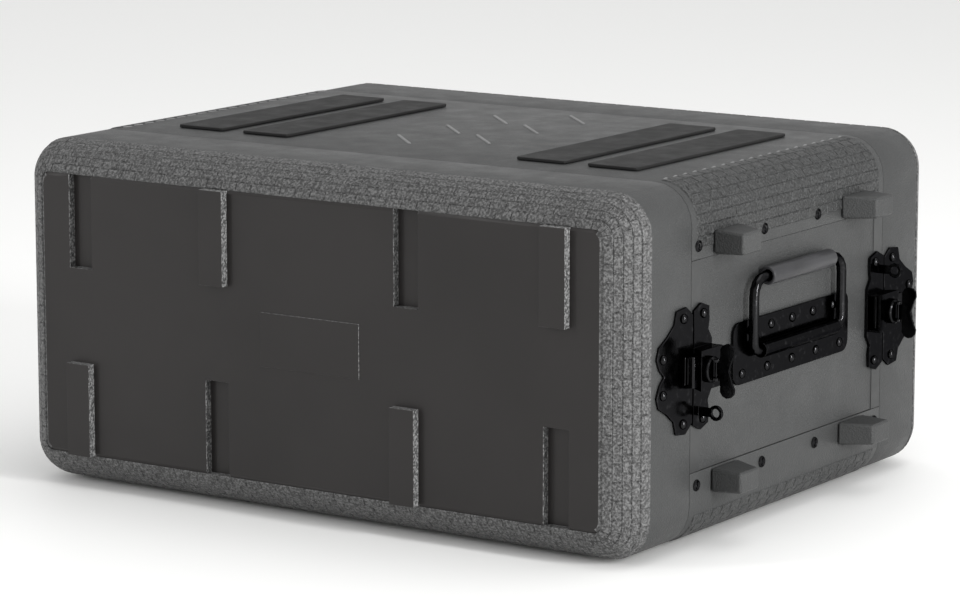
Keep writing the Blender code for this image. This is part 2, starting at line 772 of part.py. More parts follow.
def claw(name, frame, finish):
    """The hook that tilts down over the strike, drawn down and then turned up to its rest."""
    under = STRIKE_HEIGHT + CLAW_CLEARANCE
    top = under + CLAW_THICKNESS
    hook_in = -STRIKE_PLACE - CLAW_CLEARANCE
    hook_out = hook_in - CLAW_HOOK
    tip = STRIKE_HEIGHT - HOOK_OVERLAP
    outline = [
        (under, CLAW_PIVOT + CLAW_THICKNESS),
        (top, CLAW_PIVOT + CLAW_THICKNESS),
        (top, hook_out + CLAW_HOOK / 2),
        (under, hook_out),
        (tip, hook_out),
        (tip, hook_in),
        (under, hook_in),
    ]
    axis_out, axis_along = claw_axis()
    half = CLAW_WIDTH / 2
    made = prism(name, outline, 2, -half, half)
    made.data.materials.append(finish)
    pin = prism(name + "_pin", circle(CLAW_PIN_RADIUS, PIN_SIDES, claw_axis()), 2, *pin_ends())
    turn = Matrix.Rotation(CLAW_RELEASE, 4, "Z")
    axis = (axis_out, axis_along, 0.0)
    settle_on_axis(made, frame, axis, turn)
    settle_on_axis(pin, frame, axis, turn)
    join(made, pin)
    return made


def pin_ends():
    reach = CLAW_WIDTH / 2 + CHEEK_GAP + CHEEK
    return (-reach, reach)


def rotor_top():
    return bridge_top() + GAP + ROTOR_THICKNESS


def wing_axis():
    """Height of the wing's hinge above the side of the case."""
    return rotor_top() + WING_PIN_HEIGHT


def rotor(name, frame, finish):
    """The disc that the wing turns, with its spindle through the bridge and two ears."""
    disc = circle(ROTOR_RADIUS, ROTOR_SIDES, (SPINDLE_PLACE, 0.0))
    made = prism(name, disc, 0, bridge_top() + GAP, rotor_top(), None, True)
    made.data.materials.append(finish)
    spindle = circle(SPINDLE_RADIUS, SPINDLE_SIDES, (SPINDLE_PLACE, 0.0))
    parts = [prism(name + "_spindle", spindle, 0, BRIDGE_UNDERSIDE, rotor_top() - GAP)]
    for up in (-1, 1):
        ws = mirrored((ROTOR_RADIUS - EAR_THICKNESS * 2, ROTOR_RADIUS - EAR_THICKNESS), up)
        parts.append(prism(name + "_ear", ear_outline(), 2, *ws))
    axis = (rotor_top(), SPINDLE_PLACE, 0.0)
    settle_on_axis(made, frame, axis)
    for part in parts:
        settle_on_axis(part, frame, axis)
        join(made, part)
    reach = ROTOR_RADIUS
    bore = circle(WING_PIN_RADIUS + PIN_CLEARANCE, PIN_SIDES, (wing_axis(), SPINDLE_PLACE))
    hole = prism(name + "_bore", bore, 2, -reach, reach)
    cut(made, settle_on_axis(hole, frame, axis))
    return made


def ear_outline():
    """A round-topped ear standing on the rotor, as (out, along)."""
    foot = rotor_top() - ROTOR_THICKNESS / 2
    points = [(foot, SPINDLE_PLACE + EAR_RADIUS), (foot, SPINDLE_PLACE - EAR_RADIUS)]
    for step in range(EAR_STEPS + 1):
        angle = math.pi * (step / EAR_STEPS - 0.5)
        points.append(
            (
                wing_axis() + EAR_RADIUS * math.cos(angle),
                SPINDLE_PLACE + EAR_RADIUS * math.sin(angle),
            )
        )
    return points


def wing_neck():
    """Half the wing's width where it passes between the ears."""
    return ROTOR_RADIUS - 2 * EAR_THICKNESS - GAP


def wing_outline():
    """The wing's edge, as (out, up): a neck between the ears, then two round lobes with a notch."""
    centre_out = WING_TIP - LOBE_RADIUS
    centre_up = WING_SPAN / 2 - LOBE_RADIUS
    clear = wing_axis() + EAR_RADIUS + EAR_CLEARANCE
    upper = [(wing_axis(), wing_neck()), (clear, wing_neck())]
    for step in range(LOBE_STEPS + 1):
        angle = LOBE_START + (LOBE_STOP - LOBE_START) * step / LOBE_STEPS
        out = max(centre_out + LOBE_RADIUS * math.cos(angle), clear)
        upper.append((out, centre_up + LOBE_RADIUS * math.sin(angle)))
    upper.append((WING_TIP - LOBE_NOTCH, 0.0))
    return upper + [(u, -w) for u, w in reversed(upper[:-1])]


def wing(name, frame, finish):
    """The folding wing, standing up from the rotor, on its pin between the ears."""
    low = SPINDLE_PLACE - WING_SHEET / 2
    made = prism(name, wing_outline(), 1, low, low + WING_SHEET)
    made.data.materials.append(finish)
    outer = ROTOR_RADIUS - EAR_THICKNESS
    centre = (wing_axis(), SPINDLE_PLACE)
    pin = prism(name + "_pin", circle(WING_PIN_RADIUS, PIN_SIDES, centre), 2, -outer, outer)
    axis = (wing_axis(), SPINDLE_PLACE, 0.0)
    settle_on_axis(made, frame, axis)
    join(made, settle_on_axis(pin, frame, axis))
    return made


# Handles


def handle_axis():
    """Height of the bail's hinge above the side of the case."""
    return GAP + PLATE / 2 + BARREL_RADIUS


def handle_plate(name, side, finish):
    """The plate and the barrel that the bail's pins turn in."""
    middle = (0.0, MIDDLE)
    outline = rounded(HANDLE_LENGTH / 2, HANDLE_HEIGHT / 2, HANDLE_RADIUS, ARC_STEPS, middle)
    xs = mirrored((HALF_WIDTH + GAP, HALF_WIDTH + GAP + PLATE), side)
    made = prism(name, outline, 0, *xs, finish)
    axis_x = side * (HALF_WIDTH + handle_axis())
    half = BARREL_LENGTH / 2
    barrel = circle(BARREL_RADIUS, SPINDLE_SIDES, (axis_x, MIDDLE))
    join(made, prism(name + "_barrel", barrel, 1, -half, half))
    for end in (-1, 1):
        bore = circle(BARREL_BORE, SPINDLE_SIDES, (axis_x, MIDDLE))
        ys = mirrored((half - BARREL_DEPTH, half + GAP), end)
        cut(made, prism(name + "_bore", bore, 1, *ys))
    return made


def bail_path():
    """The wire's centre line as (along, up) from one pin's inner end to the other's."""
    half = BAIL_WIDTH / 2
    inner = half - BAIL_PIN
    points = [(-inner, 0.0)]
    lower = 2 * WIRE_RADIUS
    for step in range(ARC_STEPS + 1):
        angle = math.pi * (1.5 - step / ARC_STEPS / 2)
        points.append((-half + lower + lower * math.cos(angle), lower + lower * math.sin(angle)))
    for step in range(ARC_STEPS + 1):
        angle = math.pi * (1 - step / ARC_STEPS / 2)
        points.append(
            (
                -half + BAIL_BEND + BAIL_BEND * math.cos(angle),
                BAIL_REACH - BAIL_BEND + BAIL_BEND * math.sin(angle),
            )
        )
    return points + [(-along, up) for along, up in reversed(points)]


def bail(name, side, finish):
    """A wire bow in the plane of the side, its pins bent inwards along the hinge."""
    path = bail_path()
    rings = []
    for index, (along, up) in enumerate(path):
        before = Vector(path[max(index - 1, 0)])
        after = Vector(path[min(index + 1, len(path) - 1)])
        ahead = (after - before).normalized()
        across = Vector((-ahead.y, ahead.x))
        ring = []
        for x, reach in circle(WIRE_RADIUS, WIRE_SIDES):
            ring.append((side * x, along + across.x * reach, up + across.y * reach))
        rings.append(ring)
    made = loft(name, rings, finish, smooth=True)
    made.location = (side * (HALF_WIDTH + handle_axis()), 0.0, MIDDLE)
    return made


def grip(name, side, finish):
    """A tube on the bow's straight stretch, made as a ring section so that it stays open."""
    bore = WIRE_RADIUS + GRIP_CLEARANCE
    half = GRIP_LENGTH / 2
    bm = bmesh.new()
    rows = []
    for along, radius in ((-half, GRIP_RADIUS), (half, GRIP_RADIUS), (half, bore), (-half, bore)):
        points = circle(radius, GRIP_SIDES, (0.0, BAIL_REACH))
        rows.append([bm.verts.new((x, along, z)) for x, z in points])
    for low, high in zip(rows, rows[1:] + rows[:1]):
        for i in range(GRIP_SIDES):
            j = (i + 1) % GRIP_SIDES
            bm.faces.new((low[i], low[j], high[j], high[i]))
    made = finished(name, bm, finish, smooth=True)
    made.location = (side * (HALF_WIDTH + handle_axis()), 0.0, MIDDLE)
    return made


def clear_scene():
    for found in list(bpy.data.objects):
        bpy.data.objects.remove(found, do_unlink=True)


def main():
    clear_scene()
    moulding = material("black_moulding", (0.030, 0.031, 0.033), 0.55)
    cover_moulding = material("cover_moulding", (0.042, 0.039, 0.038), 0.50)
    rubber = material("black_rubber", (0.016, 0.016, 0.017), 0.80)
    white_steel = material("white_powder_coat", (0.78, 0.79, 0.79), 0.42)
    black_steel = material("black_plated_steel", (0.010, 0.010, 0.011), 0.22, 0.6)
    grip_rubber = material("grip_rubber", (0.045, 0.045, 0.048), 0.50)
    grooves = [rim_groove("front_rim_groove", -1), rim_groove("rear_rim_groove", 1)]
    shell("top_shell", 1, moulding, grooves)
    shell("bottom_shell", -1, moulding, grooves)
    tray("ceiling_tray", -1, moulding)
    tray("floor_tray", 1, moulding)
    sides = (("left", -1), ("right", 1))
    ends = (("front", -1), ("rear", 1))
    levels = (("bottom", -1), ("top", 1))
    for side_name, side in sides:
        side_panel(side_name + "_side_panel", side, moulding, grooves)
        handle_plate(side_name + "_handle_plate", side, black_steel)
        bail(side_name + "_handle_bail", side, black_steel)
        grip(side_name + "_handle_grip", side, grip_rubber)
        for end_name, end in ends:
            place = end_name + "_" + side_name
            rail(place + "_rack_rail", side, end, white_steel)
            for level_name, up in levels:
                side_foot(place + "_" + level_name + "_side_foot", side, end, up, moulding)
            frame = latch_frame(side, end)
            keeper(place + "_latch_keeper", frame, black_steel)
            latch_base(place + "_latch_base", frame, black_steel)
            claw(place + "_latch_claw", frame, black_steel)
            rotor(place + "_latch_rotor", frame, black_steel)
            wing(place + "_latch_wing", frame, black_steel)
        for level_name, up in levels:
            for index, centre in enumerate(PAD_CENTRES):
                name = f"{level_name}_{side_name}_pad_{index + 1}"
                pad(name, side * centre, up, rubber)
    for end_name, end in ends:
        gasket(end_name + "_gasket", end, rubber)
        cover(end_name + "_cover", end, cover_moulding)


if __name__ == "__main__":
    main()
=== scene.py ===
"""Looks for the equipment rack case: its mouldings, hardware, rubber parts and studio.

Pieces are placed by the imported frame's boxes and by the sizes named below, which are in metres.
"""

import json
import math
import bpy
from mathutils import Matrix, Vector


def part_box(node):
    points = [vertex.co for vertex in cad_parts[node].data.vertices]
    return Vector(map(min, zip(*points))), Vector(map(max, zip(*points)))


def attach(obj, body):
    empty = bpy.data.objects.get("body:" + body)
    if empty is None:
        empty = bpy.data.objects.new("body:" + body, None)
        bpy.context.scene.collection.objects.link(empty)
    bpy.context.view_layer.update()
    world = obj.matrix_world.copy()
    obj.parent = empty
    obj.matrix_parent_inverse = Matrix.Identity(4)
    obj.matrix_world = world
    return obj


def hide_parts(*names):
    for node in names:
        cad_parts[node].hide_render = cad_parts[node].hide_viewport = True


bl_info = {
    "name": "Equipment Rack Case",
    "version": (1, 0, 0),
    "blender": (4, 5, 0),
    "location": "3D View > Sidebar > Rack Case",
    "description": "Finishes and details a four unit equipment rack case",
    "category": "Add Mesh",
}

import bmesh
import bpy
from mathutils import Matrix, Vector

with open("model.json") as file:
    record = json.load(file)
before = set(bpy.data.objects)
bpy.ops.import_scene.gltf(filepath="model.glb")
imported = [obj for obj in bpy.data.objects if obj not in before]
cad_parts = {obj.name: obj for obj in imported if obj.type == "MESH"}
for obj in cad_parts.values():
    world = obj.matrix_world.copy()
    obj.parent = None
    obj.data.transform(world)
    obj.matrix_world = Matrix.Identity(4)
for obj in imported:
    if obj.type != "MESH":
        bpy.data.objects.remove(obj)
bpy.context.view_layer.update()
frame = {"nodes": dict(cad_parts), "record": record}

SIDES = (("left", -1), ("right", 1))
ENDS = (("front", -1), ("rear", 1))
LEVELS = (("bottom", -1), ("top", 1))
CORNERS = [(f"{end_name}_{side_name}", side, end) for end_name, end in ENDS for side_name, side in SIDES]
BODIES = frame["record"]["behaviour"]["bodies"]
BODY_OF = {node: body for body, nodes in BODIES.items() for node in nodes}

# Places read from the frame. The seam is where a shell's leg ends, above or below the middle.
SHELL_LOW, SHELL_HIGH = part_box("top_shell")
RAIL_LOW, RAIL_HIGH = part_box("front_right_rack_rail")
HALF_WIDTH = SHELL_HIGH.x
HALF_DEPTH = SHELL_HIGH.y
MIDDLE = (SHELL_HIGH.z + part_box("bottom_shell")[0].z) / 2
HALF_HEIGHT = SHELL_HIGH.z - MIDDLE
SEAM = SHELL_LOW.z - MIDDLE
WALL_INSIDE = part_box("right_side_panel")[0].x

# Faces of the pressed plates, counted outwards from the side of the case.
PLATE_SHEET = 0.0017
HANDLE_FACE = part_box("right_handle_plate")[0].x - HALF_WIDTH + PLATE_SHEET
LATCH_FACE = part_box("front_right_latch_keeper")[0].x - HALF_WIDTH + PLATE_SHEET

# Sizes of the mouldings that the solids share.
CORNER_RADIUS = 0.028
CORNER_ARC = CORNER_RADIUS * math.pi / 2
FLAT_X = HALF_WIDTH - CORNER_RADIUS
FLAT_Z = HALF_HEIGHT - CORNER_RADIUS
QUARTER = FLAT_X + CORNER_ARC + FLAT_Z
LEG = FLAT_Z - SEAM
COVER_MOUTH = HALF_DEPTH + 0.0003
COVER_FLANGE = 0.050
BEVEL_INSET = 0.024
BEVEL_DEPTH = 0.026
BEVEL_START = math.radians(12)
BEVEL_STOP = math.radians(72)
PANEL_FACE = COVER_MOUTH + COVER_FLANGE + BEVEL_DEPTH
BAR_DEPTH = 0.006
RIM_DEPTH = 0.016
SLACK = 0.0005

# Angles that tell flat faces, gentle bends and edges apart, and the gap under which points merge.
MERGE = 1e-5
COPLANAR = math.radians(1)
BEND = math.radians(17)
EDGE_ANGLE = math.radians(30)
SMOOTH_ANGLE = math.radians(32)
BRICK_ANGLE = math.radians(20)
WIRE_ANGLE = math.radians(40)
TUBE_ANGLE = math.radians(50)

# A face looks the way of an axis when its normal reaches this far along it.
FACING = 0.5

HALF = 0.5

# How strongly plastic and rubber shine, where 0.5 is plain plastic.
SHEEN = 0.28
PLATING_TINT = (0.4, 0.4, 0.4, 1.0)


class CaseMouldings(bpy.types.PropertyGroup):
    """Sizes of the embossed patterns and of the edges of the plastic parts."""

    edge: bpy.props.FloatProperty(
        name="Edge", description="Width of the rounded edges", default=0.0007, unit="LENGTH"
    )
    brick_length: bpy.props.FloatProperty(
        name="Brick length", description="Length of one embossed brick", default=0.0126, unit="LENGTH"
    )
    brick_height: bpy.props.FloatProperty(
        name="Brick height", description="Height of one embossed brick", default=0.0074, unit="LENGTH"
    )
    brick_joint: bpy.props.FloatProperty(
        name="Joint", description="Half the groove round a brick", default=0.0008, unit="LENGTH"
    )
    brick_relief: bpy.props.FloatProperty(
        name="Relief", description="How far a brick stands out", default=0.0006, unit="LENGTH"
    )
    dash_length: bpy.props.FloatProperty(
        name="Dash length", description="Length of the raised dashes", default=0.044, unit="LENGTH"
    )
    moulding_colour: bpy.props.FloatVectorProperty(
        name="Moulding", description="Colour of the body", default=(0.039, 0.040, 0.040), subtype="COLOR"
    )
    panel_colour: bpy.props.FloatVectorProperty(
        name="Panel",
        description="Colour of the covers' panels",
        default=(0.017, 0.0152, 0.0148),
        subtype="COLOR",
    )
    border_colour: bpy.props.FloatVectorProperty(
        name="Border",
        description="Colour of the covers' borders",
        default=(0.070, 0.070, 0.070),
        subtype="COLOR",
    )


class CaseHardware(bpy.types.PropertyGroup):
    """Sizes and colours of the metal fittings."""

    edge: bpy.props.FloatProperty(
        name="Edge", description="Width of the rounded edges", default=0.00055, unit="LENGTH"
    )
    rivet_radius: bpy.props.FloatProperty(
        name="Rivet radius", description="Radius of a rivet's head", default=0.0034, unit="LENGTH"
    )
    eyelet_radius: bpy.props.FloatProperty(
        name="Eyelet radius", description="Radius of the shells' rivets", default=0.0040, unit="LENGTH"
    )
    screw_radius: bpy.props.FloatProperty(
        name="Screw radius", description="Radius of a screw's head", default=0.0045, unit="LENGTH"
    )
    black_colour: bpy.props.FloatVectorProperty(
        name="Black",
        description="Colour of the plated steel",
        default=(0.021, 0.021, 0.022),
        subtype="COLOR",
    )
    rail_colour: bpy.props.FloatVectorProperty(
        name="Rails",
        description="Colour of the rails' powder coat",
        default=(0.80, 0.81, 0.81),
        subtype="COLOR",
    )


class CaseRubber(bpy.types.PropertyGroup):
    """Sizes and colours of the rubber parts."""

    edge: bpy.props.FloatProperty(
        name="Edge", description="Width of the rounded edges", default=0.0006, unit="LENGTH"
    )
    pad_colour: bpy.props.FloatVectorProperty(
        name="Pads", description="Colour of the pads", default=(0.010, 0.010, 0.010), subtype="COLOR"
    )
    grip_colour: bpy.props.FloatVectorProperty(
        name="Grips", description="Colour of the grips", default=(0.026, 0.026, 0.028), subtype="COLOR"
    )


class CaseStudio(bpy.types.PropertyGroup):
    """The camera, the floor and the lights."""

    azimuth: bpy.props.FloatProperty(
        name="Azimuth",
        description="Camera's turn round the case",
        default=math.radians(33.8),
        subtype="ANGLE",
    )
    elevation: bpy.props.FloatProperty(
        name="Elevation",
        description="Camera's height angle",
        default=math.radians(10.3),
        subtype="ANGLE",
    )
    distance: bpy.props.FloatProperty(
        name="Distance", description="From the camera to the case", default=2.9, unit="LENGTH"
    )
    lens: bpy.props.FloatProperty(name="Lens", description="Focal length in mm", default=150.0)
    floor_size: bpy.props.FloatProperty(
        name="Floor", description="Side of the floor", default=30.0, unit="LENGTH"
    )
    floor_colour: bpy.props.FloatVectorProperty(
        name="Floor colour",
        description="Colour of the floor",
        default=(0.97, 0.97, 0.96),
        subtype="COLOR",
    )


# Working in object and edit mode


def deselect():
    """Leaves edit mode with nothing selected."""
    if bpy.context.object and bpy.context.object.mode != "OBJECT":
        bpy.ops.object.mode_set(mode="OBJECT")
    bpy.ops.object.select_all(action="DESELECT")


def focus(piece):
    """Makes a piece the one that the operators act on."""
    deselect()
    bpy.context.view_layer.objects.active = piece
    piece.select_set(True)


def edit(piece, kind="FACE"):
    """Opens a piece in edit mode with nothing of it selected."""
    focus(piece)
    bpy.ops.object.mode_set(mode="EDIT")
    bpy.ops.mesh.select_mode(type=kind)
    bpy.ops.mesh.select_all(action="DESELECT")


def select_faces(piece, wanted):
    """Selects the faces whose centre and normal are wanted, in edit mode."""
    edit(piece)
    mesh = bmesh.from_edit_mesh(piece.data)
    for face in mesh.faces:
        face.select_set(bool(wanted(face.calc_center_median(), face.normal)))
    bmesh.update_edit_mesh(piece.data)


def select_edges(piece, wanted):
    """Selects the edges whose two ends are wanted, in edit mode."""
    edit(piece, "EDGE")
    mesh = bmesh.from_edit_mesh(piece.data)
    for edge in mesh.edges:
        edge.select_set(bool(wanted(edge.verts[0].co, edge.verts[1].co)))
    bmesh.update_edit_mesh(piece.data)


def apply_all(piece):
    """Applies a piece's place to its mesh, and then its modifiers in order."""
    focus(piece)
    bpy.ops.object.transform_apply(location=True, rotation=True, scale=True)
    for step in list(piece.modifiers):
        bpy.ops.object.modifier_apply(modifier=step.name)


def smooth(piece, angle=SMOOTH_ANGLE):
    focus(piece)
    bpy.ops.object.shade_smooth_by_angle(angle=angle)


def round_edges(piece, width, segments=2, curve=None):
    """Rounds a piece's sharp edges and keeps its flat faces flat.

    A wire or a tube gives the angle of a curve, under which its facets count as one round face.
    """
    focus(piece)
    step = piece.modifiers.new("Edges", "BEVEL")
    step.width = width
    step.segments = segments
    step.limit_method = "ANGLE"
    step.angle_limit = curve or EDGE_ANGLE
    step.use_clamp_overlap = True
    apply_all(piece)
    smooth(piece, curve or SMOOTH_ANGLE)
    keep_flats(piece, width / 2, curve or BEND)


def keep_flats(piece, breadth, bend):
    """Shades each broad face flat, unless it bends gently into another broad face.

    A face is broad when its area is over its outline's length times a breadth, so the narrow
    strips of a rounded edge aren't.
    """
    mesh = bmesh.new()
    mesh.from_mesh(piece.data)
    broad = {face for face in mesh.faces if face.calc_area() > breadth * face.calc_perimeter()}
    for face in broad:
        beside = {other for edge in face.edges for other in edge.link_faces if other in broad}
        angles = [face.normal.angle(other.normal, 0.0) for other in beside]
        face.smooth = any(COPLANAR < angle < bend for angle in angles)
    mesh.to_mesh(piece.data)
    mesh.free()


def dress(piece, finish):
    """Gives a piece one finish all over."""
    piece.data.materials.clear()
    piece.data.materials.append(finish)


def belong(piece, node):
    """Lets a piece ride with the body of a CAD node."""
    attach(piece, BODY_OF[node])
    return piece


def merged_copy(node, faces="whole"):
    """A copy of a CAD node's mesh, its triangles joined into whole or convex faces, or kept."""
    made = bpy.data.objects.new(node + "_finished", frame["nodes"][node].data.copy())
    bpy.context.scene.collection.objects.link(made)
    edit(made)
    bpy.ops.mesh.select_all(action="SELECT")
    bpy.ops.mesh.remove_doubles(threshold=MERGE)
    if faces != "kept":
        bpy.ops.mesh.dissolve_limited(angle_limit=COPLANAR)
    if faces == "convex":
        bpy.ops.mesh.vert_connect_concave()
    bpy.ops.object.mode_set(mode="OBJECT")
    if made.data.has_custom_normals:
        bpy.ops.mesh.customdata_custom_splitnormals_clear()
    return made


def refined(node, width, finish, segments=2, faces="whole", curve=None):
    """Stands for a CAD node with a copy whose edges are rounded."""
    made = merged_copy(node, faces)
    round_edges(made, width, segments, curve)
    dress(made, finish)
    belong(made, node)
    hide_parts(node)
    return made


def copies(pattern, name, places):
    """One piece made of a pattern's copies, each at its place. The pattern is used up."""
    made = []
    for place in places:
        copy = bpy.data.objects.new(name, pattern.data.copy())
        bpy.context.scene.collection.objects.link(copy)
        copy.data.transform(place)
        if place.determinant() < 0:
            copy.data.flip_normals()
        made.append(copy)
    bpy.data.objects.remove(pattern)
    focus(made[0])
    for copy in made:
        copy.select_set(True)
    if len(made) > 1:
        bpy.ops.object.join()
    made[0].name = name
    return made[0]


def turned(name, radius, height, steps, sides=24):
    """A round piece standing on the origin, its top stepped inwards and up or down."""
    deselect()
    bpy.ops.mesh.primitive_cylinder_add(
        vertices=sides, radius=radius, depth=height, location=(0, 0, height / 2)
    )
    made = bpy.context.object
    made.name = name
    apply_all(made)
    select_faces(made, lambda centre, normal: normal.z > FACING)
    for inward, rise in steps:
        bpy.ops.mesh.inset(thickness=inward, depth=rise)
    deselect()
    return made


def rivet(radius, height):
    """A domed rivet head."""
    steps = [
        (radius * 0.12, height * 0.30),
        (radius * 0.22, height * 0.32),
        (radius * 0.30, height * 0.20),
    ]
    return turned("rivet", radius, height * 0.25, steps)


def eyelet(radius, height):
    """A rolled eyelet round a sunken rivet."""
    steps = [
        (radius * 0.14, height * 0.45),
        (radius * 0.16, height * 0.10),
        (radius * 0.12, -height * 0.30),
        (radius * 0.10, -height * 0.35),
        (radius * 0.14, height * 0.25),
        (radius * 0.16, height * 0.12),
    ]
    return turned("eyelet", radius, height * 0.4, steps)


def cross_screw(radius, height):
    """A pan head screw with a cross recess on a flat washer."""
    base = height * 0.3
    washer = turned("washer", radius * 1.45, base, [(radius * 0.08, height * 0.05)])
    steps = [(radius * 0.15, height * 0.2), (radius * 0.2, height * 0.1)]
    head = turned("head", radius, height * 0.7, steps)
    head.data.transform(Matrix.Translation((0, 0, base)))
    recess = (radius * 1.2, radius * 0.26, height * 0.8)
    for turn in (0.0, math.pi / 2):
        deselect()
        bpy.ops.mesh.primitive_cube_add(size=1, location=(0, 0, height * 1.25))
        cutter = bpy.context.object
        cutter.scale = recess
        cutter.rotation_euler.z = turn
        apply_all(cutter)
        step = head.modifiers.new("Recess", "BOOLEAN")
        step.operation = "DIFFERENCE"
        step.object = cutter
        apply_all(head)
        bpy.data.objects.remove(cutter)
    focus(washer)
    head.select_set(True)
    bpy.ops.object.join()
    return washer


def on_side(side, out, y, up, inwards=False):
    """The place of a piece whose height runs out from a side of the case, or inwards."""
    turn = Matrix.Rotation((-side if inwards else side) * math.pi / 2, 4, "Y")
    return Matrix.Translation((side * (HALF_WIDTH + out), y, MIDDLE + up)) @ turn


def fit_out(name, pattern, places, node, finish):
    """Sets copies of a pattern out on a CAD node's body."""
    made = copies(pattern, name, places)
    smooth(made)
    dress(made, finish)
    return belong(made, node)


# Finishes


class Finish:
    """A material that is put together from textures on the object's own coordinates."""

    def __init__(self, name, roughness, metallic=0.0):
        self.material = bpy.data.materials.new(name)
        self.material.use_nodes = True
        self.tree = self.material.node_tree
        self.shader = self.tree.nodes["Principled BSDF"]
        self.shader.inputs["Roughness"].default_value = roughness
        self.shader.inputs["Metallic"].default_value = metallic
        self.shader.inputs["Specular IOR Level"].default_value = SHEEN
        self.place = self.tree.nodes.new("ShaderNodeTexCoord").outputs["Object"]
        self.relief = None

    def add(self, kind, **values):
        made = self.tree.nodes.new(kind)
        for name, value in values.items():
            made.inputs[name.replace("_", " ")].default_value = value
        return made

    def link(self, source, target):
        self.tree.links.new(source, target)

    def noise(self, size, detail=4.0):
        """A cloudy texture whose features are about a size across."""
        texture = self.add("ShaderNodeTexNoise", Scale=1 / size, Detail=detail, Roughness=0.55)
        self.link(self.place, texture.inputs["Vector"])
        return texture.outputs["Fac"]

    def cells(self, size):
        """Pebbles about a size across, highest at their middles."""
        texture = self.add("ShaderNodeTexVoronoi", Scale=1 / size)
        self.link(self.place, texture.inputs["Vector"])
        return self.level(texture.outputs["Distance"], low=0.0, high=0.8, floor=1.0, ceiling=0.0)

    def level(self, source, low, high, floor=0.0, ceiling=1.0):
        """Spreads the part of a texture between low and high over floor to ceiling."""
        made = self.add("ShaderNodeMapRange", From_Min=low, From_Max=high, To_Min=floor, To_Max=ceiling)
        self.link(source, made.inputs["Value"])
        return made.outputs["Result"]

    def colour(self, share, first, second):
        """Mixes two colours by a texture."""
        mix = self.tree.nodes.new("ShaderNodeMix")
        mix.data_type = "RGBA"
        colours = [socket for socket in mix.inputs if socket.type == "RGBA"]
        colours[0].default_value = (*first, 1.0)
        colours[1].default_value = (*second, 1.0)
        self.link(share, mix.inputs["Factor"])
        result = [socket for socket in mix.outputs if socket.type == "RGBA"][0]
        self.link(result, self.shader.inputs["Base Color"])

    def rough(self, size, low, high):
        """Varies the roughness in clouds about a size across."""
        clouds = self.level(self.noise(size), low=0.3, high=0.7, floor=low, ceiling=high)
        self.link(clouds, self.shader.inputs["Roughness"])

    def bump(self, height, depth, strength=1.0):
        """Raises a texture by a depth, on top of any bump so far."""
        made = self.add("ShaderNodeBump", Distance=depth, Strength=strength)
        self.link(height, made.inputs["Height"])
        if self.relief:
            self.link(self.relief, made.inputs["Normal"])
        self.relief = made.outputs["Normal"]
        self.link(self.relief, self.shader.inputs["Normal"])


def shade(colour, share):
    """A colour made darker or lighter by a share."""
    return tuple(min(channel * share, 1.0) for channel in colour)


def body_finish(colour):
    """Charcoal moulding with a fine leather grain and faint handling marks."""
    made = Finish("charcoal_moulding", 0.5)
    cloud = made.noise(0.060)
    made.colour(made.level(cloud, low=0.3, high=0.7), shade(colour, 0.92), shade(colour, 1.1))
    made.rough(size=0.018, low=0.42, high=0.54)
    made.bump(made.cells(0.0013), depth=0.00024, strength=0.9)
    made.bump(made.noise(0.0006), depth=0.00010, strength=0.6)
    return made.material


def inner_finish(colour):
    """Satin moulding inside the case, smoother than outside."""
    made = Finish("inner_moulding", 0.42)
    cloud = made.noise(0.080)
    made.colour(made.level(cloud, low=0.35, high=0.65), shade(colour, 0.7), shade(colour, 1.0))
    made.rough(size=0.012, low=0.34, high=0.48)
    made.bump(made.noise(0.0009), depth=0.00008, strength=0.5)
    return made.material


def panel_finish(colour):
    """The covers' smooth panel: satin, slightly brown, with a soft grain."""
    made = Finish("cover_panel", 0.42)
    cloud = made.noise(0.120, detail=2.0)
    made.colour(made.level(cloud, low=0.35, high=0.65), shade(colour, 0.92), shade(colour, 1.14))
    made.rough(size=0.025, low=0.36, high=0.46)
    made.bump(made.noise(0.0010), depth=0.00005, strength=0.5)
    return made.material


def border_finish(name, colour, peak_highlight):
    """The coarse grain of the covers' borders, its hollows painted darker as painted shade and its high
    points painted lighter as a painted highlight.
    """
    made = Finish(name, 0.5)
    grain = made.noise(0.0016, detail=3.0)
    # Painted shade in the grain's hollows and a painted highlight on its high points, which get lighter
    # as the last share grows.
    made.colour(made.level(grain, low=0.42, high=0.66), shade(colour, 0.65), shade(colour, peak_highlight))
    made.rough(size=0.010, low=0.40, high=0.58)
    made.bump(grain, depth=0.0007, strength=0.9)
    made.bump(made.cells(0.0019), depth=0.00030, strength=0.8)
    return made.material


def rubber_finish(name, colour, low, high):
    """Rubber with a dusty bloom."""
    made = Finish(name, low)
    bloom = made.noise(0.030)
    made.colour(made.level(bloom, low=0.35, high=0.65), shade(colour, 0.85), shade(colour, 1.3))
    made.rough(size=0.015, low=low, high=high)
    made.bump(made.noise(0.0008), depth=0.00008, strength=0.6)
    return made.material


def black_steel_finish(colour):
    """Gloss black plating over pressed steel, thin along its high spots."""
    made = Finish("black_steel", 0.2, 1.0)
    made.shader.inputs["Specular Tint"].default_value = PLATING_TINT
    wear = made.noise(0.004, detail=6.0)
    made.colour(made.level(wear, low=0.58, high=0.78), shade(colour, 1.0), shade(colour, 2.4))
    made.rough(size=0.006, low=0.10, high=0.22)
    made.bump(made.noise(0.0025), depth=0.00010, strength=0.5)
    return made.material


def powder_coat_finish(colour):
    """White powder coat with its fine orange peel."""
    made = Finish("white_powder_coat", 0.4)
    made.colour(made.level(made.noise(0.040), low=0.35, high=0.70), colour, shade(colour, 0.93))
    made.rough(size=0.008, low=0.34, high=0.46)
    made.bump(made.noise(0.0014, detail=2.0), depth=0.00006, strength=0.6)
    return made.material


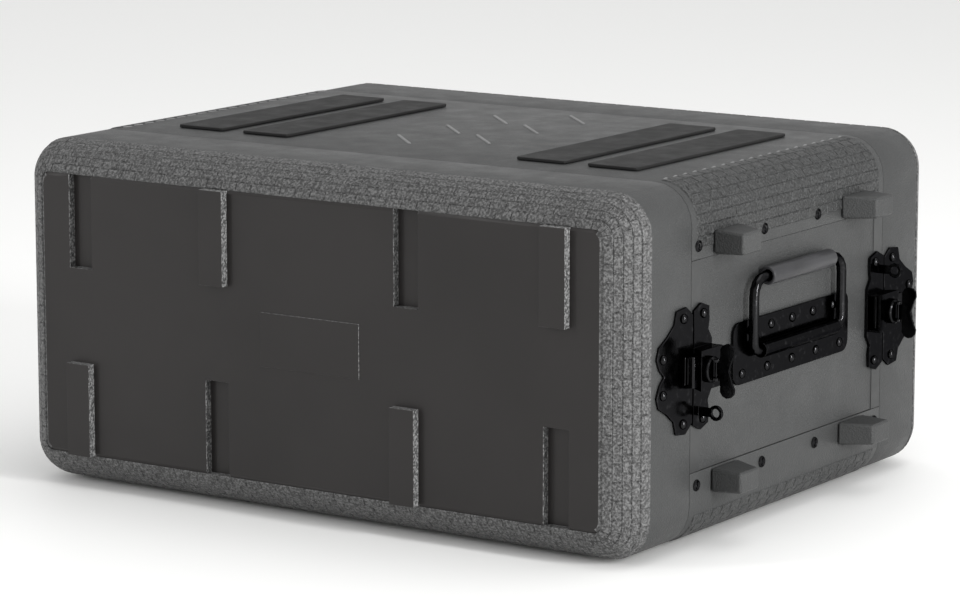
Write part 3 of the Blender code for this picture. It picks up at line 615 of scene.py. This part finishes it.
def screw_finish():
    """Bright zinc, lightly brushed."""
    made = Finish("zinc_screws", 0.3, 1.0)
    made.colour(made.noise(0.003), (0.30, 0.31, 0.32), (0.46, 0.47, 0.48))
    made.rough(size=0.0015, low=0.24, high=0.40)
    made.bump(made.noise(0.0007), depth=0.00004, strength=0.5)
    return made.material


FINISHES = {}


def prepare_finishes(scene):
    """Makes each finish once, from the colours in the settings."""
    moulding = scene.case_mouldings
    hardware = scene.case_hardware
    rubber = scene.case_rubber
    FINISHES["body"] = body_finish(moulding.moulding_colour)
    FINISHES["inner"] = inner_finish(moulding.moulding_colour)
    FINISHES["panel"] = panel_finish(moulding.panel_colour)
    FINISHES["border"] = border_finish("cover_border", moulding.border_colour, 2.2)
    # The bars' sides take the border's grain painted much lighter: a painted highlight on the bars'
    # walls.
    FINISHES["bar_side"] = border_finish("bar_sides_painted_highlight", moulding.border_colour, 4.0)
    # The shoulders' bricks are painted darker than the body, as painted shade on the upper part of the
    # sides, with the grain's painted shade and highlight.
    FINISHES["shoulder"] = border_finish("shoulder_grain_painted_shade", shade(moulding.moulding_colour, 0.72), 2.0)
    # The beads and the dashes are coloured far lighter than the body: a painted highlight standing for
    # the glints along the shoulders and the top's ribs.
    FINISHES["bead"] = body_finish(shade(moulding.border_colour, 2.4))
    FINISHES["pad"] = rubber_finish("pad_rubber", rubber.pad_colour, 0.62, 0.82)
    FINISHES["grip"] = rubber_finish("grip_rubber", rubber.grip_colour, 0.34, 0.48)
    FINISHES["black"] = black_steel_finish(hardware.black_colour)
    FINISHES["rail"] = powder_coat_finish(hardware.rail_colour)
    FINISHES["screw"] = screw_finish()


# Embossed bricks

BRICK_MARGIN = 0.003
LEG_MARGIN = 0.004
SHELL_BRICK_LIFT = 0.00004
COVER_BRICK_LIFT = 0.00012
COVER_BRICK_ROWS = 5
COVER_BRICK_MARGIN = 0.06
TIGHTEST_CORNER = 0.006
BEAD_WIDTH = 0.0020
BEAD_HEIGHT = 0.0012
BEAD_EDGE = 0.0005
BEAD_SLANT = math.radians(18)
BEAD_SHARE = 0.62


def brick_sheet(name, rows, columns, settings):
    """A flat sheet of raised bricks, each row half a brick along from the next."""
    deselect()
    bpy.ops.mesh.primitive_grid_add(x_subdivisions=2 * columns, y_subdivisions=rows, size=1)
    made = bpy.context.object
    made.name = name
    made.scale = (columns * settings.brick_length, rows * settings.brick_height, 1)
    apply_all(made)
    half = settings.brick_length / 2
    left = -columns * half

    def between_halves(first, second):
        if abs(first.x - second.x) > half / 2:
            return False
        column = round((first.x - left) / half)
        row = round((first.y + second.y) / 2 / settings.brick_height + rows / 2 - HALF)
        return 0 < column < 2 * columns and (column + row) % 2 == 1

    select_edges(made, between_halves)
    bpy.ops.mesh.dissolve_edges(use_verts=False)
    bpy.ops.mesh.select_mode(type="FACE")
    bpy.ops.mesh.select_all(action="SELECT")
    bpy.ops.mesh.inset(use_individual=True, thickness=settings.brick_joint, depth=settings.brick_relief)
    deselect()
    return made


def wrap(piece, place, outward):
    """Carries a flat sheet's points to their places, facing the way that outward gives."""
    for point in piece.data.vertices:
        point.co = place(point.co)
    piece.data.update()
    agree = sum(face.normal.dot(outward(face.center)) * face.area for face in piece.data.polygons)
    if agree < 0:
        piece.data.flip_normals()


def thicken(piece, thickness):
    """Gives a sheet a back, so that it is a closed solid."""
    step = piece.modifiers.new("Thickness", "SOLIDIFY")
    step.thickness = thickness
    step.offset = -1
    apply_all(piece)


def shell_place(side, up, start):
    """Where a point of the flat sheet lies on a shell's leg and shoulder.

    The sheet's x runs along the case and its y runs up the leg, round the shoulder, from a start.
    """

    def place(point):
        girth = start + point.y
        out = point.z
        if girth < LEG:
            return Vector((side * (HALF_WIDTH + out), point.x, MIDDLE + up * (SEAM + girth)))
        angle = (girth - LEG) / CORNER_RADIUS
        reach = CORNER_RADIUS + out
        x = FLAT_X + reach * math.cos(angle)
        z = FLAT_Z + reach * math.sin(angle)
        return Vector((side * x, point.x, MIDDLE + up * z))

    return place


def from_middle(centre):
    """Outwards from the line through the middle of the case, front to rear."""
    return Vector((centre.x, 0, centre.z - MIDDLE))


class CASE_OT_shell_bricks(bpy.types.Operator):
    """Emboss bricks on the shells' shoulders and on the legs of the top shell"""

    bl_idname = "rack_case.shell_bricks"
    bl_label = "Shell Bricks"

    def execute(self, context):
        settings = context.scene.case_mouldings
        columns = int(2 * (HALF_DEPTH - BRICK_MARGIN) / settings.brick_length)
        girth = LEG + CORNER_ARC
        for side_name, side in SIDES:
            for level, up in LEVELS:
                low = LEG_MARGIN if up > 0 else LEG
                rows = int((girth - low) / settings.brick_height)
                start = girth - rows * settings.brick_height / 2
                name = f"{level}_{side_name}_bricks"
                sheet = brick_sheet(name, rows, columns, settings)
                sheet.data.transform(Matrix.Translation((0, 0, SHELL_BRICK_LIFT)))
                wrap(sheet, shell_place(side, up, start), from_middle)
                thicken(sheet, settings.brick_relief)
                smooth(sheet, BRICK_ANGLE)
                # The bricks are darker than the body: painted shade on the upper part of the sides.
                dress(sheet, FINISHES["shoulder"])
                belong(sheet, f"{level}_shell")
                self.add_beads(settings, side_name, side, level, up, columns)
        return {"FINISHED"}

    def add_beads(self, settings, side_name, side, level, up, columns):
        """A row of slanting beads along the line where the shoulder meets the flat, coloured light as a
        painted highlight of the bricks' top edges.
        """
        deselect()
        bpy.ops.mesh.primitive_cube_add(size=1, location=(0, 0, 0))
        bead = bpy.context.object
        bead.scale = (BEAD_WIDTH, settings.brick_length * BEAD_SHARE, BEAD_HEIGHT)
        apply_all(bead)
        round_edges(bead, BEAD_EDGE)
        x = side * (FLAT_X - BEAD_WIDTH / 2)
        z = MIDDLE + up * HALF_HEIGHT
        slant = Matrix.Rotation(side * BEAD_SLANT, 4, "Z")
        places = []
        for column in range(columns):
            y = (column + HALF - columns / 2) * settings.brick_length
            places.append(Matrix.Translation((x, y, z)) @ slant)
        fit_out(f"{level}_{side_name}_beads", bead, places, f"{level}_shell", FINISHES["bead"])


def bevel_point(share):
    """(inset, depth) at a share of the way round the cover's bevel."""
    angle = BEVEL_START + (BEVEL_STOP - BEVEL_START) * share
    full_in = math.cos(BEVEL_START) - math.cos(BEVEL_STOP)
    full_out = math.sin(BEVEL_STOP) - math.sin(BEVEL_START)
    inset = BEVEL_INSET * (math.cos(BEVEL_START) - math.cos(angle)) / full_in
    depth = BEVEL_DEPTH * (math.sin(angle) - math.sin(BEVEL_START)) / full_out
    return inset, depth


def ring_point(along, inset):
    """A point of the cover's rounded outline at an inset, and its direction outwards.

    The distance along is measured on the outermost outline, from the middle of the top.
    """
    along %= 4 * QUARTER
    mirror_x = along > 2 * QUARTER
    if mirror_x:
        along = 4 * QUARTER - along
    mirror_z = along > QUARTER
    if mirror_z:
        along = 2 * QUARTER - along
    reach = max(CORNER_RADIUS - inset, TIGHTEST_CORNER)
    if along < FLAT_X:
        x, z, out = along * (HALF_WIDTH - inset - reach) / FLAT_X, HALF_HEIGHT - inset, (0.0, 1.0)
    elif along < FLAT_X + CORNER_ARC:
        angle = math.pi / 2 - (along - FLAT_X) / CORNER_RADIUS
        out = (math.cos(angle), math.sin(angle))
        x = HALF_WIDTH - inset - reach + reach * out[0]
        z = HALF_HEIGHT - inset - reach + reach * out[1]
    else:
        z = (QUARTER - along) * (HALF_HEIGHT - inset - reach) / FLAT_Z
        x, out = HALF_WIDTH - inset, (1.0, 0.0)
    sign_x = -1 if mirror_x else 1
    sign_z = -1 if mirror_z else 1
    return (sign_x * x, sign_z * z), (sign_x * out[0], sign_z * out[1])


def cover_place(end, columns, settings):
    """Where a point of the flat sheet lies on a cover's bevel."""
    width = COVER_BRICK_ROWS * settings.brick_height
    used = 1 - 2 * COVER_BRICK_MARGIN

    def place(point):
        share = COVER_BRICK_MARGIN + used * (point.y / width + HALF)
        inset, depth = bevel_point(share)
        angle = BEVEL_START + (BEVEL_STOP - BEVEL_START) * share
        along = 4 * QUARTER * (point.x / (columns * settings.brick_length) + HALF)
        (x, z), (out_x, out_z) = ring_point(along, inset)
        sideways = point.z * math.cos(angle)
        forwards = point.z * math.sin(angle)
        y = end * (COVER_MOUTH + COVER_FLANGE + depth + forwards)
        return Vector((x + out_x * sideways, y, MIDDLE + z + out_z * sideways))

    return place


class CASE_OT_cover_bricks(bpy.types.Operator):
    """Emboss bricks all round the covers' bevels"""

    bl_idname = "rack_case.cover_bricks"
    bl_label = "Cover Bricks"

    def execute(self, context):
        settings = context.scene.case_mouldings
        columns = round(4 * QUARTER / settings.brick_length)
        for end_name, end in ENDS:
            sheet = brick_sheet(end_name + "_cover_bricks", COVER_BRICK_ROWS, columns, settings)
            sheet.data.transform(Matrix.Translation((0, 0, COVER_BRICK_LIFT)))

            def outward(centre):
                return Vector((centre.x / 2, end * HALF_WIDTH, centre.z - MIDDLE))

            wrap(sheet, cover_place(end, columns, settings), outward)
            edit(sheet)
            bpy.ops.mesh.select_all(action="SELECT")
            bpy.ops.mesh.remove_doubles(threshold=MERGE)
            deselect()
            thicken(sheet, 2 * settings.brick_relief)
            smooth(sheet, BRICK_ANGLE)
            dress(sheet, FINISHES["border"])
            belong(sheet, end_name + "_cover")
        return {"FINISHED"}


# The mouldings


class CASE_OT_shells(bpy.types.Operator):
    """Finish the two shells and the two side panels"""

    bl_idname = "rack_case.shells"
    bl_label = "Shells and Panels"

    def execute(self, context):
        settings = context.scene.case_mouldings
        for node in ("top_shell", "bottom_shell", "left_side_panel", "right_side_panel"):
            made = refined(node, settings.edge, FINISHES["body"], faces="convex")
            made.data.materials.append(FINISHES["inner"])
            for face in made.data.polygons:
                inwards = face.normal.dot(from_middle(face.center)) < 0
                rim = abs(face.center.y) > HALF_DEPTH - RIM_DEPTH
                face.material_index = int(inwards or rim)
        return {"FINISHED"}


class CASE_OT_trays(bpy.types.Operator):
    """Finish the ribbed trays in the floor and the ceiling of the bay"""

    bl_idname = "rack_case.trays"
    bl_label = "Trays"

    def execute(self, context):
        settings = context.scene.case_mouldings
        for node in ("floor_tray", "ceiling_tray"):
            refined(node, settings.edge, FINISHES["inner"])
        return {"FINISHED"}


class CASE_OT_covers(bpy.types.Operator):
    """Finish the two covers, with a smooth panel, a grained border and bar sides whose grain is painted
    lighter as a painted highlight
    """

    bl_idname = "rack_case.covers"
    bl_label = "Covers"

    def execute(self, context):
        settings = context.scene.case_mouldings
        for end_name, end in ENDS:
            made = refined(end_name + "_cover", settings.edge, FINISHES["border"])
            for finish in ("panel", "body", "inner", "bar_side"):
                made.data.materials.append(FINISHES[finish])
            for face in made.data.polygons:
                face.material_index = self.finish_of(face, end)
        return {"FINISHED"}

    def finish_of(self, face, end):
        """The finish of a cover's face: 0 border, 1 panel, 2 flange, 3 inside, 4 bar side."""
        centre = face.center
        depth = end * centre.y
        facing = end * face.normal.y
        across = abs(centre.x) < HALF_WIDTH - BEVEL_INSET + SLACK
        tall = abs(centre.z - MIDDLE) < HALF_HEIGHT - BEVEL_INSET + BAR_DEPTH
        panel = across and tall
        if panel and facing > 0.9 and depth > PANEL_FACE - BAR_DEPTH - 2 * SLACK:
            return 1
        if panel and facing > -0.1 and depth > PANEL_FACE - BAR_DEPTH - SLACK:
            return 4
        if face.normal.dot(from_middle(centre)) < 0 or facing < -0.2:
            return 3
        if depth < COVER_MOUTH + COVER_FLANGE:
            return 2
        return 0


DASH_HEIGHT = 0.0009
DASH_WIDTH = 0.0026
DASH_EDGE = 0.0008
DASH_ROW = 0.0235
DASH_PITCH = 0.062
DASH_SLANT = -math.pi / 4


class CASE_OT_top_dashes(bpy.types.Operator):
    """Add the staggered rows of raised dashes between the pads on the top and the bottom, coloured light
    as a painted highlight of their glints
    """

    bl_idname = "rack_case.top_dashes"
    bl_label = "Dashes"

    def execute(self, context):
        settings = context.scene.case_mouldings
        slant = Matrix.Rotation(DASH_SLANT, 4, "Z")
        for level, up in LEVELS:
            deselect()
            bpy.ops.mesh.primitive_cube_add(size=1, location=(0, 0, 0))
            dash = bpy.context.object
            dash.scale = (settings.dash_length, DASH_WIDTH, 2 * DASH_HEIGHT)
            apply_all(dash)
            round_edges(dash, DASH_EDGE, 3)
            places = []
            for row, x in enumerate((-DASH_ROW, DASH_ROW)):
                for step in (-1, 0, 1):
                    y = (step + row / 2) * DASH_PITCH
                    spot = Matrix.Translation((x, y, MIDDLE + up * HALF_HEIGHT))
                    places.append(spot @ slant)
            fit_out(f"{level}_dashes", dash, places, f"{level}_shell", FINISHES["bead"])
        return {"FINISHED"}


class CASE_OT_feet_and_pads(bpy.types.Operator):
    """Finish the side feet and the flat rubber pads"""

    bl_idname = "rack_case.feet_and_pads"
    bl_label = "Feet and Pads"

    def execute(self, context):
        foot_edge = context.scene.case_mouldings.edge
        rubber_edge = context.scene.case_rubber.edge
        for corner, _side, _end in CORNERS:
            for level, _up in LEVELS:
                refined(f"{corner}_{level}_side_foot", foot_edge, FINISHES["body"], 3)
        for level, _up in LEVELS:
            for side_name, _side in SIDES:
                for count in (1, 2):
                    refined(f"{level}_{side_name}_pad_{count}", rubber_edge, FINISHES["pad"], 3)
        for end_name, _end in ENDS:
            refined(end_name + "_gasket", rubber_edge, FINISHES["pad"])
        return {"FINISHED"}


# The fittings. Places along a side run front to rear, and up from the middle of the case.

SHELL_RIVET_PLACES = (-0.1245, -0.037, 0.037, 0.1245)
SHELL_RIVET_UP = 0.0090
SHELL_RIVET_HEIGHT = 0.0016
SHELL_RIVET_SINK = 0.0001
RAIL_SCREW_SHARE = 0.62
RAIL_SCREW_HEIGHT = 0.0026
RAIL_SCREW_LEVEL = 0.0095
RAIL_SCREW_BACK = (0.009, 0.020)
POCKET_WALL = 0.005
WALL_SCREWS = ((-0.010, 0.0165), (0.0355, -0.013), (-0.055, -0.014))
WALL_SCREW_HEIGHT = 0.0032
DIMPLES = ((-0.029, 0.039), (0.014, 0.039), (-0.030, 0.0025), (0.0115, 0.0026), (-0.030, -0.036))
DIMPLE_HEIGHT = 0.0009
LOWER_RIVETS = (-0.068, -0.034, 0.0, 0.034, 0.068)
UPPER_RIVETS = (-0.058, -0.029, 0.0, 0.029, 0.058)
HANDLE_RIVET_UP = 0.0142
HANDLE_RIVET_HEIGHT = 0.0017
GRIP_WALL = 0.0026
GRIP_EDGE = 0.0012
GRIP_SIDES = 40

# Places on a latch run from the seam into the body, and up its plate.
KEEPER_RIVETS = ((-0.0126, 0.0355), (-0.0126, -0.0355), (-0.0384, 0.012), (-0.0384, -0.012))
BASE_RIVETS = ((0.013, 0.0355), (0.013, -0.0355))
LATCH_RIVET_HEIGHT = 0.0022
CAP_OUT = 0.0140
CAP_ALONG = 0.005
CAP_RADIUS = 0.0088
CAP_HEIGHT = 0.0006
CAP_STEPS = ((0.0008, 0.0008), (0.0010, 0.0002), (0.0008, -0.0006), (0.0012, 0.0))


class CASE_OT_shell_rivets(bpy.types.Operator):
    """Rivet the shells' legs to the side panels"""

    bl_idname = "rack_case.shell_rivets"
    bl_label = "Shell Rivets"

    def execute(self, context):
        radius = context.scene.case_hardware.eyelet_radius
        for side_name, side in SIDES:
            places = [
                on_side(side, -SHELL_RIVET_SINK, y, up * (SEAM + SHELL_RIVET_UP))
                for _level, up in LEVELS
                for y in SHELL_RIVET_PLACES
            ]
            pattern = eyelet(radius, SHELL_RIVET_HEIGHT)
            node = side_name + "_side_panel"
            fit_out(f"{side_name}_shell_rivets", pattern, places, node, FINISHES["black"])
        return {"FINISHED"}


class CASE_OT_rails(bpy.types.Operator):
    """Finish the rack rails and screw their tabs to the shells"""

    bl_idname = "rack_case.rails"
    bl_label = "Rack Rails"

    def execute(self, context):
        settings = context.scene.case_hardware
        for corner, side, end in CORNERS:
            node = corner + "_rack_rail"
            refined(node, settings.edge, FINISHES["rail"])
            x = side * (RAIL_LOW.x + RAIL_HIGH.x) / 2
            face = abs(RAIL_LOW.y)
            reach = (RAIL_HIGH.z - RAIL_LOW.z) / 2
            places = []
            for up in (-1, 1):
                level = MIDDLE + up * (reach - RAIL_SCREW_LEVEL)
                turn = Matrix.Rotation(math.pi, 4, "X") if up > 0 else Matrix.Identity(4)
                for back in RAIL_SCREW_BACK:
                    spot = Matrix.Translation((x, end * (face - back), level))
                    places.append(spot @ turn)
            pattern = cross_screw(settings.screw_radius * RAIL_SCREW_SHARE, RAIL_SCREW_HEIGHT)
            fit_out(corner + "_rail_screws", pattern, places, node, FINISHES["screw"])
        return {"FINISHED"}


class CASE_OT_wall_fittings(bpy.types.Operator):
    """Add the screws of the handles and the moulded dimples inside the side panels"""

    bl_idname = "rack_case.wall_fittings"
    bl_label = "Wall Fittings"

    def execute(self, context):
        settings = context.scene.case_hardware
        wall = WALL_INSIDE - HALF_WIDTH + POCKET_WALL
        for side_name, side in SIDES:
            node = side_name + "_side_panel"
            places = [on_side(side, wall, y, up, inwards=True) for y, up in WALL_SCREWS]
            pattern = cross_screw(settings.screw_radius, WALL_SCREW_HEIGHT)
            fit_out(f"{side_name}_wall_screws", pattern, places, node, FINISHES["screw"])
            places = [on_side(side, wall, y, up, inwards=True) for y, up in DIMPLES]
            pattern = eyelet(settings.rivet_radius, DIMPLE_HEIGHT)
            fit_out(f"{side_name}_wall_dimples", pattern, places, node, FINISHES["inner"])
        return {"FINISHED"}


class CASE_OT_handles(bpy.types.Operator):
    """Finish the folding handles and rivet their plates on"""

    bl_idname = "rack_case.handles"
    bl_label = "Handles"

    def execute(self, context):
        settings = context.scene.case_hardware
        for side_name, side in SIDES:
            plate = side_name + "_handle_plate"
            refined(plate, settings.edge, FINISHES["black"])
            refined(side_name + "_handle_bail", settings.edge, FINISHES["black"], curve=WIRE_ANGLE)
            self.add_grip(side_name)
            places = [on_side(side, HANDLE_FACE, y, -HANDLE_RIVET_UP) for y in LOWER_RIVETS]
            places += [on_side(side, HANDLE_FACE, y, HANDLE_RIVET_UP) for y in UPPER_RIVETS]
            pattern = rivet(settings.rivet_radius, HANDLE_RIVET_HEIGHT)
            fit_out(side_name + "_handle_rivets", pattern, places, plate, FINISHES["black"])
        return {"FINISHED"}

    def add_grip(self, side_name):
        """A rubber sleeve with rounded ends."""
        node = side_name + "_handle_grip"
        low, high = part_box(node)
        centre = (low + high) / 2
        radius = (high.z - low.z) / 2
        deselect()
        bpy.ops.mesh.primitive_cylinder_add(
            vertices=GRIP_SIDES,
            radius=radius,
            depth=high.y - low.y,
            end_fill_type="NOTHING",
            rotation=(math.pi / 2, 0, 0),
        )
        made = bpy.context.object
        made.name = node + "_finished"
        apply_all(made)
        step = made.modifiers.new("Wall", "SOLIDIFY")
        step.thickness = GRIP_WALL
        step.offset = -1
        apply_all(made)
        round_edges(made, GRIP_EDGE, 3, TUBE_ANGLE)
        made.data.transform(Matrix.Translation(centre))
        dress(made, FINISHES["grip"])
        belong(made, node)
        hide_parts(node)


def latch_place(side, end, out, along, up):
    """A place on a latch: out from the side, along from the seam into the body, and up."""
    y = end * (HALF_DEPTH - along)
    return on_side(side, out, y, -end * up)


class CASE_OT_latches(bpy.types.Operator):
    """Finish the four twist latches, with their rivets and turned caps"""

    bl_idname = "rack_case.latches"
    bl_label = "Latches"

    def execute(self, context):
        settings = context.scene.case_hardware
        for corner, side, end in CORNERS:
            refined(f"{corner}_latch_base", settings.edge, FINISHES["black"], faces="kept")
            for part in ("keeper", "claw", "rotor", "wing"):
                refined(f"{corner}_latch_{part}", settings.edge, FINISHES["black"])
            for part, spots in (("keeper", KEEPER_RIVETS), ("base", BASE_RIVETS)):
                node = f"{corner}_latch_{part}"
                places = [latch_place(side, end, LATCH_FACE, along, up) for along, up in spots]
                pattern = rivet(settings.rivet_radius, LATCH_RIVET_HEIGHT)
                fit_out(f"{corner}_{part}_rivets", pattern, places, node, FINISHES["black"])
            self.add_collar(corner, side, end)
        return {"FINISHED"}

    def add_collar(self, corner, side, end):
        """The turned cap round the rotor, between the wing's ears."""
        pattern = turned("collar", CAP_RADIUS, CAP_HEIGHT, CAP_STEPS)
        place = latch_place(side, end, CAP_OUT, CAP_ALONG, 0.0)
        node = f"{corner}_latch_rotor"
        fit_out(corner + "_rotor_collar", pattern, [place], node, FINISHES["black"])


# The stage

# Each light's name, place, size and power in watts.
LIGHTS = (
    ("overhead_softbox", (0.5, 0.4, 2.4), (2.0, 1.5), 13),
    ("right_strip", (2.4, -0.3, 0.7), (0.22, 1.3), 54),
    ("left_strip", (-2.0, -2.6, 1.3), (0.22, 1.5), 22),
)
DAYLIGHT = 0.78
FLOOR_DROP = 0.0005


class CASE_OT_stage(bpy.types.Operator):
    """Make the floor, the lights and the camera"""

    bl_idname = "rack_case.stage"
    bl_label = "Stage"

    def execute(self, context):
        settings = context.scene.case_studio
        self.add_floor(settings)
        self.add_world()
        target = Vector((0, 0, MIDDLE))
        for name, place, size, power in LIGHTS:
            self.add_light(name, place, target, size, power)
        self.add_camera(settings, target)
        return {"FINISHED"}

    def add_floor(self, settings):
        deselect()
        bpy.ops.mesh.primitive_plane_add(size=settings.floor_size, location=(0, 0, -FLOOR_DROP))
        floor = bpy.context.object
        floor.name = "studio_floor"
        made = Finish("pale_floor", 0.6)
        cloud = made.noise(1.5, detail=2.0)
        made.colour(cloud, settings.floor_colour, shade(settings.floor_colour, 0.985))
        dress(floor, made.material)

    def add_world(self):
        """An even white sky, shown without a film look."""
        world = bpy.data.worlds.new("studio")
        bpy.context.scene.world = world
        world.use_nodes = True
        background = world.node_tree.nodes["Background"]
        background.inputs["Color"].default_value = (1.0, 1.0, 1.0, 1.0)
        background.inputs["Strength"].default_value = DAYLIGHT
        bpy.context.scene.view_settings.view_transform = "Standard"

    def add_light(self, name, place, target, size, power):
        light = bpy.data.lights.new(name, "AREA")
        light.shape = "RECTANGLE"
        light.size, light.size_y = size
        light.energy = power
        lamp = bpy.data.objects.new(name, light)
        bpy.context.scene.collection.objects.link(lamp)
        lamp.location = place
        lamp.rotation_euler = (target - Vector(place)).to_track_quat("-Z", "Y").to_euler()
        lamp.visible_camera = False

    def add_camera(self, settings, target):
        camera = bpy.data.objects.new("camera", bpy.data.cameras.new("camera"))
        bpy.context.scene.collection.objects.link(camera)
        level = math.cos(settings.elevation)
        x = math.sin(settings.azimuth) * level
        y = -math.cos(settings.azimuth) * level
        back = Vector((x, y, math.sin(settings.elevation)))
        camera.location = target + back * settings.distance
        camera.rotation_euler = (-back).to_track_quat("-Z", "Y").to_euler()
        camera.data.lens = settings.lens
        camera.data.clip_end = settings.floor_size
        bpy.context.scene.camera = camera


class CASE_PT_panel(bpy.types.Panel):
    """Lists the case's settings and steps"""

    bl_idname = "CASE_PT_panel"
    bl_label = "Rack Case"
    bl_space_type = "VIEW_3D"
    bl_region_type = "UI"
    bl_category = "Rack Case"

    def draw(self, context):
        for group in (
            context.scene.case_mouldings,
            context.scene.case_hardware,
            context.scene.case_rubber,
            context.scene.case_studio,
        ):
            box = self.layout.box()
            for name in group.__annotations__:
                box.prop(group, name)
        for step in STEPS:
            self.layout.operator(step.bl_idname)


GROUPS = {
    "case_mouldings": CaseMouldings,
    "case_hardware": CaseHardware,
    "case_rubber": CaseRubber,
    "case_studio": CaseStudio,
}
STEPS = (
    CASE_OT_shells,
    CASE_OT_shell_bricks,
    CASE_OT_trays,
    CASE_OT_covers,
    CASE_OT_cover_bricks,
    CASE_OT_top_dashes,
    CASE_OT_feet_and_pads,
    CASE_OT_shell_rivets,
    CASE_OT_rails,
    CASE_OT_wall_fittings,
    CASE_OT_handles,
    CASE_OT_latches,
    CASE_OT_stage,
)


def register():
    for known in (*GROUPS.values(), *STEPS, CASE_PT_panel):
        bpy.utils.register_class(known)
    for name, group in GROUPS.items():
        setattr(bpy.types.Scene, name, bpy.props.PointerProperty(type=group))


def unregister():
    for name in GROUPS:
        delattr(bpy.types.Scene, name)
    for known in reversed((*GROUPS.values(), *STEPS, CASE_PT_panel)):
        bpy.utils.unregister_class(known)


def clear_startup():
    """Removes the startup scene's own objects, which aren't part of the case."""
    for name in ("Cube", "Light", "Camera"):
        found = bpy.data.objects.get(name)
        if found:
            bpy.data.objects.remove(found, do_unlink=True)


def main():
    register()
    clear_startup()
    prepare_finishes(bpy.context.scene)
    bpy.ops.rack_case.shells()
    bpy.ops.rack_case.shell_bricks()
    bpy.ops.rack_case.trays()
    bpy.ops.rack_case.covers()
    bpy.ops.rack_case.cover_bricks()
    bpy.ops.rack_case.top_dashes()
    bpy.ops.rack_case.feet_and_pads()
    bpy.ops.rack_case.shell_rivets()
    bpy.ops.rack_case.rails()
    bpy.ops.rack_case.wall_fittings()
    bpy.ops.rack_case.handles()
    bpy.ops.rack_case.latches()
    bpy.ops.rack_case.stage()


if __name__ == "__main__":
    main()
